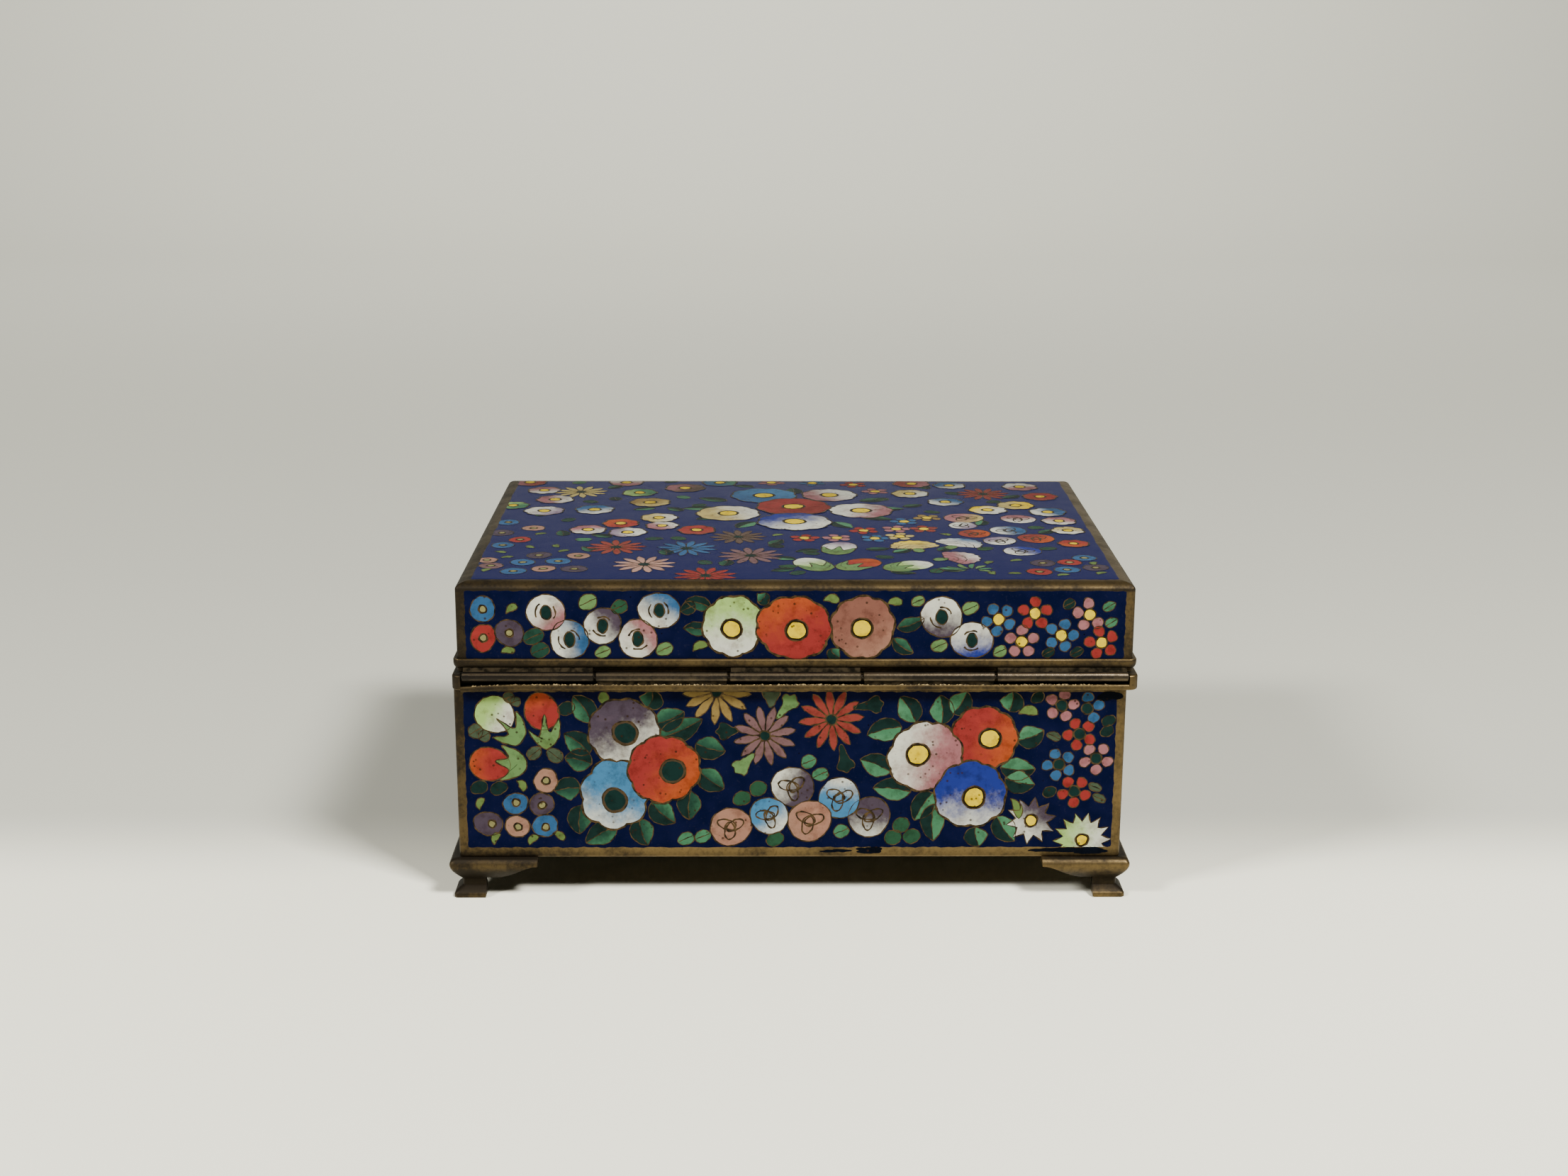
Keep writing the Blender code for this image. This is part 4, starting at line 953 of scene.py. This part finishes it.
def lid_top(panel):
    """The top: discs, asters and balls round the border, and a wreath of flowers in the middle."""
    def at(x, y):
        """A place on the panel, moved right in the middle of its length and back towards the front left."""
        x = x + 1.05 * np.clip((x - 4) / 8, 0, 1) * np.clip((84 - x) / 10, 0, 1)
        return x - 1.15 - 1.3 * ((x - 45) / 62) ** 2, (y - 4.3) * 1.03 + (2.6 - x / 80) * (1.15 - y / 140)

    for x, y, size, tint in (
        (3.7, 14.7, 1.8, "pink"), (4.7, 11, 2, "dusk"), (9, 13.3, 2.1, "sky"), (8.2, 7.5, 2.1, "sky"),
        (11, 18, 2.1, "purple"), (12.4, 9.1, 2, "pink"), (14.4, 14, 2.1, "sky"), (17.4, 17.6, 2, "pink"),
        (17.4, 9, 2.1, "purple"), (97, 14, 2.1, "purple"), (101.7, 14.6, 2, "red"), (104.7, 17.6, 2, "sky"),
        (95.7, 8.4, 2.1, "red"), (100.6, 9.8, 2.1, "sky"), (105.7, 11.2, 2.1, "purple"), (5, 25, 2, "sky"),
        (7.2, 29, 2, "red"), (4, 34, 2.1, "purple"), (8.5, 37.5, 2, "pink"), (4.2, 42, 2, "sky"),
    ):
        disc(panel, at(x, y), size, tint)
    for x, y, angle in (
        (4.5, 8, 60), (6.5, 16.5, 20), (5, 20, -30), (14.8, 20.8, 40), (13.5, 24.5, 100), (88, 14, 60),
        (92.6, 15.4, 20), (91.3, 7, 0), (88, 7.5, 90), (99.5, 6.2, 20), (106.3, 7.5, 40), (106.2, 14, 80),
        (51.0, 32.2, 30), (81.4, 33.2, -40), (10, 33, 30), (9.5, 24, 120),
    ):
        comma(panel, at(x, y), angle)
    for x, y, radius, tint, start in (
        (23.3, 23.6, 5.2, "coral", 5), (28.6, 12, 5.4, "beige", 12), (35.3, 22.8, 5.3, "sky", 20),
        (46.2, 18, 5.6, "dusk", 8), (38.9, 5, 5.3, "red", 15), (44, 31, 5, "brown", 3),
        (92, 66, 5.2, "coral", 9), (14, 67, 5.2, "cream", 9),
    ):
        aster(panel, at(x, y), radius, tint, start)
    for x, y, radius, tint, second in (
        (23, 41, 3.2, "red", "orange"), (17.6, 36.2, 3.2, "rose", "white"),
        (24.6, 34.3, 3.3, "white", "lilac"), (29.6, 45.4, 3.3, "cream", "white"),
        (30.4, 39.2, 2.9, "rose", "white"), (36.6, 36, 3.3, "red", "coral"),
        (10, 60.5, 3.4, "rose", "white"), (9, 51, 3.5, "white", "lilac"), (17.6, 52, 3.5, "sky", "white"),
        (3.6, 55.5, 2.9, "mint", "pale_green"), (4.6, 75.6, 3.2, "coral", "rose"),
        (7.6, 68.4, 3, "rose", "white"), (22, 75.6, 3.2, "rose", "white"),
        (27.4, 58, 3.6, "ochre", "cream"), (33.4, 70.6, 3.6, "brown", "rose"),
        (25, 66.4, 3.2, "mint", "pale_green"), (40, 75.5, 3.2, "sky", "mint"),
        (78, 75, 3.4, "coral", "rose"), (100, 72.5, 3.3, "rose", "white"), (86, 73.5, 3.0, "sky", "white"),
        (91.5, 52.5, 3.4, "white", "yellow"), (97.3, 56.5, 3.3, "cream", "yellow"),
        (102.8, 51.2, 3.3, "sky", "white"), (104, 44.2, 3, "rose", "white"),
        (104.6, 37, 2.8, "cream", "white"), (104.3, 27.5, 2.6, "red", "orange"),
        (84, 59, 3.2, "sky", "white"), (77, 66, 3.4, "cream", "white"), (103, 64, 3.2, "red", "coral"),
    ):
        lean = (x * 37 % 360, 0.4)
        flower(panel, at(x, y), radius, tint, second, lean, "yellow", lobes=7, depth=0.12, turn=x * 11 % 50)
    for angle in np.arange(12) * 30.0:
        heart = np.array(at(54, 54)) + (0, -1)
        base = heart + 12.5 * towards(angle) * (1.15, 1)
        tint = "mint" if angle % 60 == 0 else "leaf"
        leaf(panel, base, base + 5.5 * towards(angle) * (1.1, 1), tint, width=1.7)
    for x, y, radius, tint, second, lean, layer in (
        (42, 49, 5.8, "cream", "white", (20, 0.4), 1), (66.5, 51.5, 5.8, "white", "rose", (-20, 0.45), 1),
        (61, 64.5, 5.2, "rose", "white", (30, 0.5), 1),
        (48.5, 64, 6.2, "sky", "pale_sky", (60, 0.45), 1.25),
        (54, 54.5, 6.8, "red", "crimson", (-60, 0.35), 2),
        (54, 42.5, 6.6, "royal", "white", (-60, 0.45), 3),
    ):
        flower(panel, at(x, y), radius, tint, second, lean, "yellow", layer=min(layer, 2.25), turn=x)
    for x, y, tint in (
        (55.6, 30.3, "red"), (61.3, 30.5, "rose"), (68, 30.3, "sky"), (66.3, 36, "red"),
        (72.2, 37.2, "rose"), (77.6, 37.4, "coral"), (74, 43, "sky"), (79, 46, "ochre"),
        (72.5, 31.8, "cream"), (50, 75.8, "rose"), (58, 75.5, "sky"), (66, 74, "red"), (70, 68, "rose"),
    ):
        blossom(panel, at(x, y), tint, x * 17 % 72, petal=0.9, reach=1.75, centre="yellow")
    for x, y, axis, tint, second in (
        (56.4, 13, 115, "pale_green", "white"), (61.5, 24, 80, "white", "lilac"),
        (64.8, 13, 48, "red", "orange"), (73.3, 12, 32, "pale_green", "white"),
    ):
        middle = np.array(at(x, y))
        cup = middle - 3.2 * towards(axis)
        offsets = ((3, 2.8), (1, 1.1), (3.6, 0), (1, -1.1), (3, -2.8), (-0.6, -2.4), (-2.2, 0), (-0.6, 2.4))
        calyx = placed(cup, axis, offsets)
        bud(panel, middle, (3.7, 3.0), axis, tint, second, (axis, 0.35), calyx, cup, axis)
    for x, y, tint, second, axis in (
        (74.8, 24.6, "cream", "yellow", 100), (83.4, 26.6, "white", "sky", 60),
        (82.0, 17.0, "rose", "white", 20),
    ):
        carnation(panel, at(x, y), 4.0, tint, second, axis)
    for x, y, radius, tint, second in (
        (87.2, 34.2, 2.9, "coral", "orange"), (93.6, 36.6, 3.2, "sky", "white"),
        (91.2, 29.0, 2.9, "white", "lilac"), (98.0, 31.0, 3.2, "coral", "orange"),
        (94.4, 22.0, 3.2, "royal", "white"), (86.3, 46, 3.6, "rose", "cream"),
        (96.5, 45.5, 3.2, "rose", "white"), (85.6, 40.2, 2.6, "white", "lilac"),
    ):
        ball(panel, at(x, y), radius, tint, second, (x * 29 % 360, 0.4), turn=x * 7 % 60)
    for x, y, tint in (
        (52.5, 11, "fern"), (54, 7, "leaf"), (77.6, 8.6, "fern"), (69, 17.4, "leaf"), (56.6, 19.8, "leaf"),
        (50.6, 24.6, "dark_leaf"), (29.4, 29.6, "leaf"), (17.4, 29, "mint"), (38.6, 13.4, "leaf"),
        (33.6, 29.8, "fern"), (88, 23.4, "fern"), (99.2, 23.8, "leaf"), (80.4, 50.6, "leaf"),
        (99, 39, "fern"), (36.5, 55.5, "leaf"), (33.4, 62.4, "mint"), (16.4, 58.6, "leaf"),
        (13.6, 43.8, "leaf"), (93.4, 59.4, "leaf"), (71, 61, "fern"), (86, 66.5, "leaf"),
        (20.8, 61, "dark_leaf"), (13, 75.4, "mint"), (30.6, 76.6, "leaf"),
    ):
        sprig(panel, at(x, y), (1.5, 1.15), tint, x * 31 % 180)
    for x, y, angle, tint in (
        (53.6, 9.4, 200, "leaf"), (53.8, 15.6, 165, "mint"), (58.0, 21.8, 195, "leaf"),
        (66.0, 22.6, 10, "leaf"), (69.6, 8.4, -20, "leaf"), (78.0, 10.2, -15, "mint"),
        (79.2, 21.6, 60, "leaf"), (70.6, 20.4, 40, "mint"), (32.0, 18.2, 100, "leaf"),
        (41.6, 11.2, 80, "leaf"), (19.6, 20.4, 120, "leaf"), (22.0, 30.6, 150, "leaf"),
        (49.4, 25.6, 60, "leaf"), (33.4, 50.6, 130, "leaf"), (88.6, 40.4, 75, "mint"),
        (99.0, 34.6, 50, "leaf"), (13.6, 31.6, 100, "leaf"), (8.4, 46.6, 80, "leaf"),
        (74.6, 54.8, 30, "leaf"), (81.0, 70.2, 110, "leaf"), (46.6, 71.6, 160, "leaf"),
        (19.0, 70.0, 60, "leaf"), (95.6, 62.6, 40, "leaf"), (28.6, 53.2, 200, "mint"),
    ):
        leaf(panel, at(x, y), np.array(at(x, y)) + 4.2 * towards(angle), tint, width=1.25)
    for number in range(7):
        middle, way = np.array(at(84.4, 9.2)), towards(-20 + 34 * number)
        tint = ("sage", "mint")[number % 2]
        crescent(panel, middle + 0.9 * way, middle + (3.2 + 0.3 * number) * way, 1.0, 0.4, tint)


# Where each panel lies. The hinge side is drawn from life, and the other sides take its groups
# in another order: mirrored and dyed anew on the front, slid along and dyed anew on the left end, and slid
# along and mirrored on the right end.
SIDE_STRIP, BASE_PANEL_LOW, BASE_PANEL_HIGH, LID_STRIP, TOP_CROWN = 1.55, 8.6, 35.7, 1.3, 0.17
warm = {
    "red": "dusk", "orange": "rose", "coral": "ochre", "sky": "royal",
    "rose": "cream", "royal": "sky", "purple": "brown",
}
cool = {
    "purple": "sky", "sky": "purple", "rose": "coral", "dusk": "cream",
    "royal": "dusk", "coral": "sky", "ochre": "rose",
}
long, deep = HALF_LENGTH - SIDE_STRIP, HALF_DEPTH - SIDE_STRIP
panels = []
for body, (x, y), low, high, nudge, draw in (
    ("base", BASE_MIDDLE, BASE_PANEL_LOW, BASE_PANEL_HIGH, (0.35, -0.15), hinge_side_base),
    ("lid", LID_MIDDLE, BAND_TOP, LID_TOP - LID_STRIP, (0.3, -0.05), hinge_side_lid),
):
    left, right, back, front = x - HALF_LENGTH, x + HALF_LENGTH, y - HALF_DEPTH, y + HALF_DEPTH
    long_size, deep_size = (2 * long, high - low), (2 * deep, high - low)
    for side, corner, across, size, options in (
        ("back", (x - long, back, low), (1, 0, 0), long_size, {"slide": nudge}),
        ("front", (x + long, front, low), (-1, 0, 0), long_size, {"mirror": True, "dye": warm}),
        ("left", (left, y + deep, low), (0, -1, 0), deep_size, {"slide": (-14, 0), "dye": cool}),
        ("right", (right, y - deep, low), (0, 1, 0), deep_size, {"slide": (-15.5, 0), "mirror": True}),
    ):
        panels.append(Panel(f"{body}_enamel_{side}", body, corner, across, (0, 0, 1), size, **options))
        draw(panels[-1])
long, deep = HALF_LENGTH - EDGE_WIDTH, HALF_DEPTH - EDGE_WIDTH
corner = (*(LID_MIDDLE - (long, deep)), LID_TOP)
# The top's flowers get painted shade that deepens towards the back.
options = {"crown": TOP_CROWN, "slide": (SIDE_STRIP - EDGE_WIDTH, SIDE_STRIP - EDGE_WIDTH), "rear_shade": 0.13}
panels.append(Panel("lid_enamel_top", "lid", corner, (1, 0, 0), (0, 1, 0), (2 * long, 2 * deep), **options))
lid_top(panels[-1])

# Dark enamel has run over the brass strip below the hinge side's panel, and one corner is burnt dark.
for middle, size in (
    ((60.8, -0.5), (2.2, 0.3)), ((66.5, -0.45), (2.4, 0.5)), ((65.2, -0.2), (1.2, 0.25)),
    ((98.0, -0.35), (4.2, 0.45)), ((103.2, -0.5), (3.2, 0.5)), ((105.3, 26.5), (1.8, 0.9)),
):
    panels[0].shape(oval(middle, size, 2, wobble=0.2), "ink", width=0, layer=0.5, inside=False)


def joined(panel, name, grids, tinted=False):
    """One mesh of all the cells or wires, leaving out faces that the panel's edge has pressed flat."""
    places, faces, tints, seconds, blends, count = [], [], [], [], [], 0
    for points, lift, closed, *look in grids:
        flat = points.reshape(-1, 2)
        quads = quads_of(*points.shape[:2], wrap_columns=closed)
        one, other = flat[quads[:, 2]] - flat[quads[:, 0]], flat[quads[:, 3]] - flat[quads[:, 1]]
        area = one[:, 0] * other[:, 1] - one[:, 1] * other[:, 0]
        quads[area < 0] = quads[area < 0][:, ::-1]
        faces.append(quads[np.abs(area) > 1e-4] + count)
        places.append(panel.place(flat, lift.ravel()))
        count += len(flat)
        if tinted:
            pair, blend = look
            # Painted shade: a panel's rear shade darkens its flowers, a little over the front half and up to
            # four times as much at the back edge.
            rear = np.clip(2 * flat[:, 1:] / panel.size[1] - 1, 0, 1)
            dim = GLASS_STRENGTH * (1 - panel.rear_shade * (1 + 3 * rear))
            tints.append(rgb(*pair[0]) * dim)
            seconds.append(rgb(*pair[1]) * dim)
            blends.append(blend.ravel())
    looks = {}
    if tinted:
        looks = {"tint": np.vstack(tints), "second": np.vstack(seconds), "blend": np.concatenate(blends)}
    return from_faces(name, np.vstack(places), np.vstack(faces).tolist(), 60, **looks)


POLISH = {"Specular IOR Level": 0.05, "IOR": 1.22}
start = palette("ground_glass")
cloud, dust = start.noise(300.0, 4.0), start.noise(2600.0, 2.0)
pits, lit_top = start.pits(700.0), start.axis(2).between(0.0536, 0.0539)
tone = cloud.between(0.3, 0.7).mix(rgb(3, 6, 29), rgb(7, 10, 36))
# Painted light: the ground on the lid's top is a brighter blue than on the sides.
tone = lit_top.mix(tone, rgb(4, 8, 50))
tone = (dust.between(0.62, 0.75) * 0.5).mix(tone, rgb(20, 23, 40))
tone = ((1 - pits.between(0.05, 0.12)) * cloud.between(0.5, 0.6)).mix(tone, rgb(1, 1, 4))
ground_glass = finish("ground_glass", tone, 0.24 + 0.12 * cloud, 0.0, dust, 0.00001, **POLISH)

start = palette("petal_glass")
tint, second = (start.node("Attribute", {"attribute_name": name}) for name in ("tint", "second"))
cloud, grain = start.noise(420.0, 5.0, 0.6), start.noise(1700.0, 3.0, 0.6)
lean = start.node("Attribute", {"attribute_name": "blend"}, output=2)
lean = lean + (cloud - 0.5) * 0.6 + (grain - 0.5) * 0.25
tone = lean.between(0.12, 0.84).mix(tint, second)
shade = start.noise(430.0, 6.0, 0.7).between(0.44, 0.68)
tone = (0.45 * shade).mix(tone, rgb(134, 104, 92), "MULTIPLY")
glow = start.noise(330.0, 3.0, 0.5, (1, 1, 1.7)).between(0.55, 0.75)
tone = (0.22 * glow).mix(tone, rgb(255, 250, 240), "SOFT_LIGHT")
pits = start.pits(850.0)
patches = start.noise(260.0, 3.0).between(0.4, 0.54)
tone = ((1 - pits.between(0.12, 0.22)) * patches * 0.8).mix(tone, rgb(34, 22, 12))
petal_glass = finish("petal_glass", tone, 0.3 + 0.15 * grain, 0.0, grain, 0.000012, **POLISH)

start = palette("wire_brass")
tarnish = start.noise(900.0, 3.0).between(0.3, 0.7)
wire_brass = finish("wire_brass", tarnish.mix(rgb(22, 17, 9), rgb(74, 58, 35)), 0.5, 0.9)

border = np.array([0, 0.25, 0.5])
for panel in panels:
    steps = [
        np.concatenate([border, np.linspace(0.8, reach - 0.8, count), reach - border[::-1]])
        for reach, count in zip(panel.size, GROUND_STEPS)
    ]
    flat = np.stack(np.meshgrid(*steps), -1)
    share = 2 * flat / panel.size - 1
    at_edge = np.abs(share) > 0.9999
    wave = np.sin(flat * 1.1 + 2) + np.sin(flat * 2.9) + 0.7 * np.sin(flat * 6.1 + 1)
    shift = EDGE_WANDER * wave[..., ::-1] / 2
    flat = flat + np.where(at_edge, shift * np.sign(share), 0)
    corner_cut = np.clip((np.abs(share) * panel.size / 2 - panel.size / 2 + CORNER_FILL) / CORNER_FILL, 0, 1)
    flat = flat - np.sign(share) * CORNER_FILL * 0.3 * np.prod(corner_cut, axis=-1, keepdims=True)
    lift = np.where(np.any(at_edge, axis=-1), EDGE_LIFT, GROUND_LIFT)
    ground = joined(panel, panel.node + "_ground", [(flat, lift, False)])
    ground.data.materials.append(ground_glass)
    flowers = joined(panel, panel.node + "_flowers", panel.cells, tinted=True)
    flowers.data.materials.append(petal_glass)
    wires = joined(panel, panel.node + "_wires", panel.wires)
    wires.data.materials.append(wire_brass)
    for piece in (ground, flowers, wires):
        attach(piece, panel.body)
    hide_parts(panel.node)
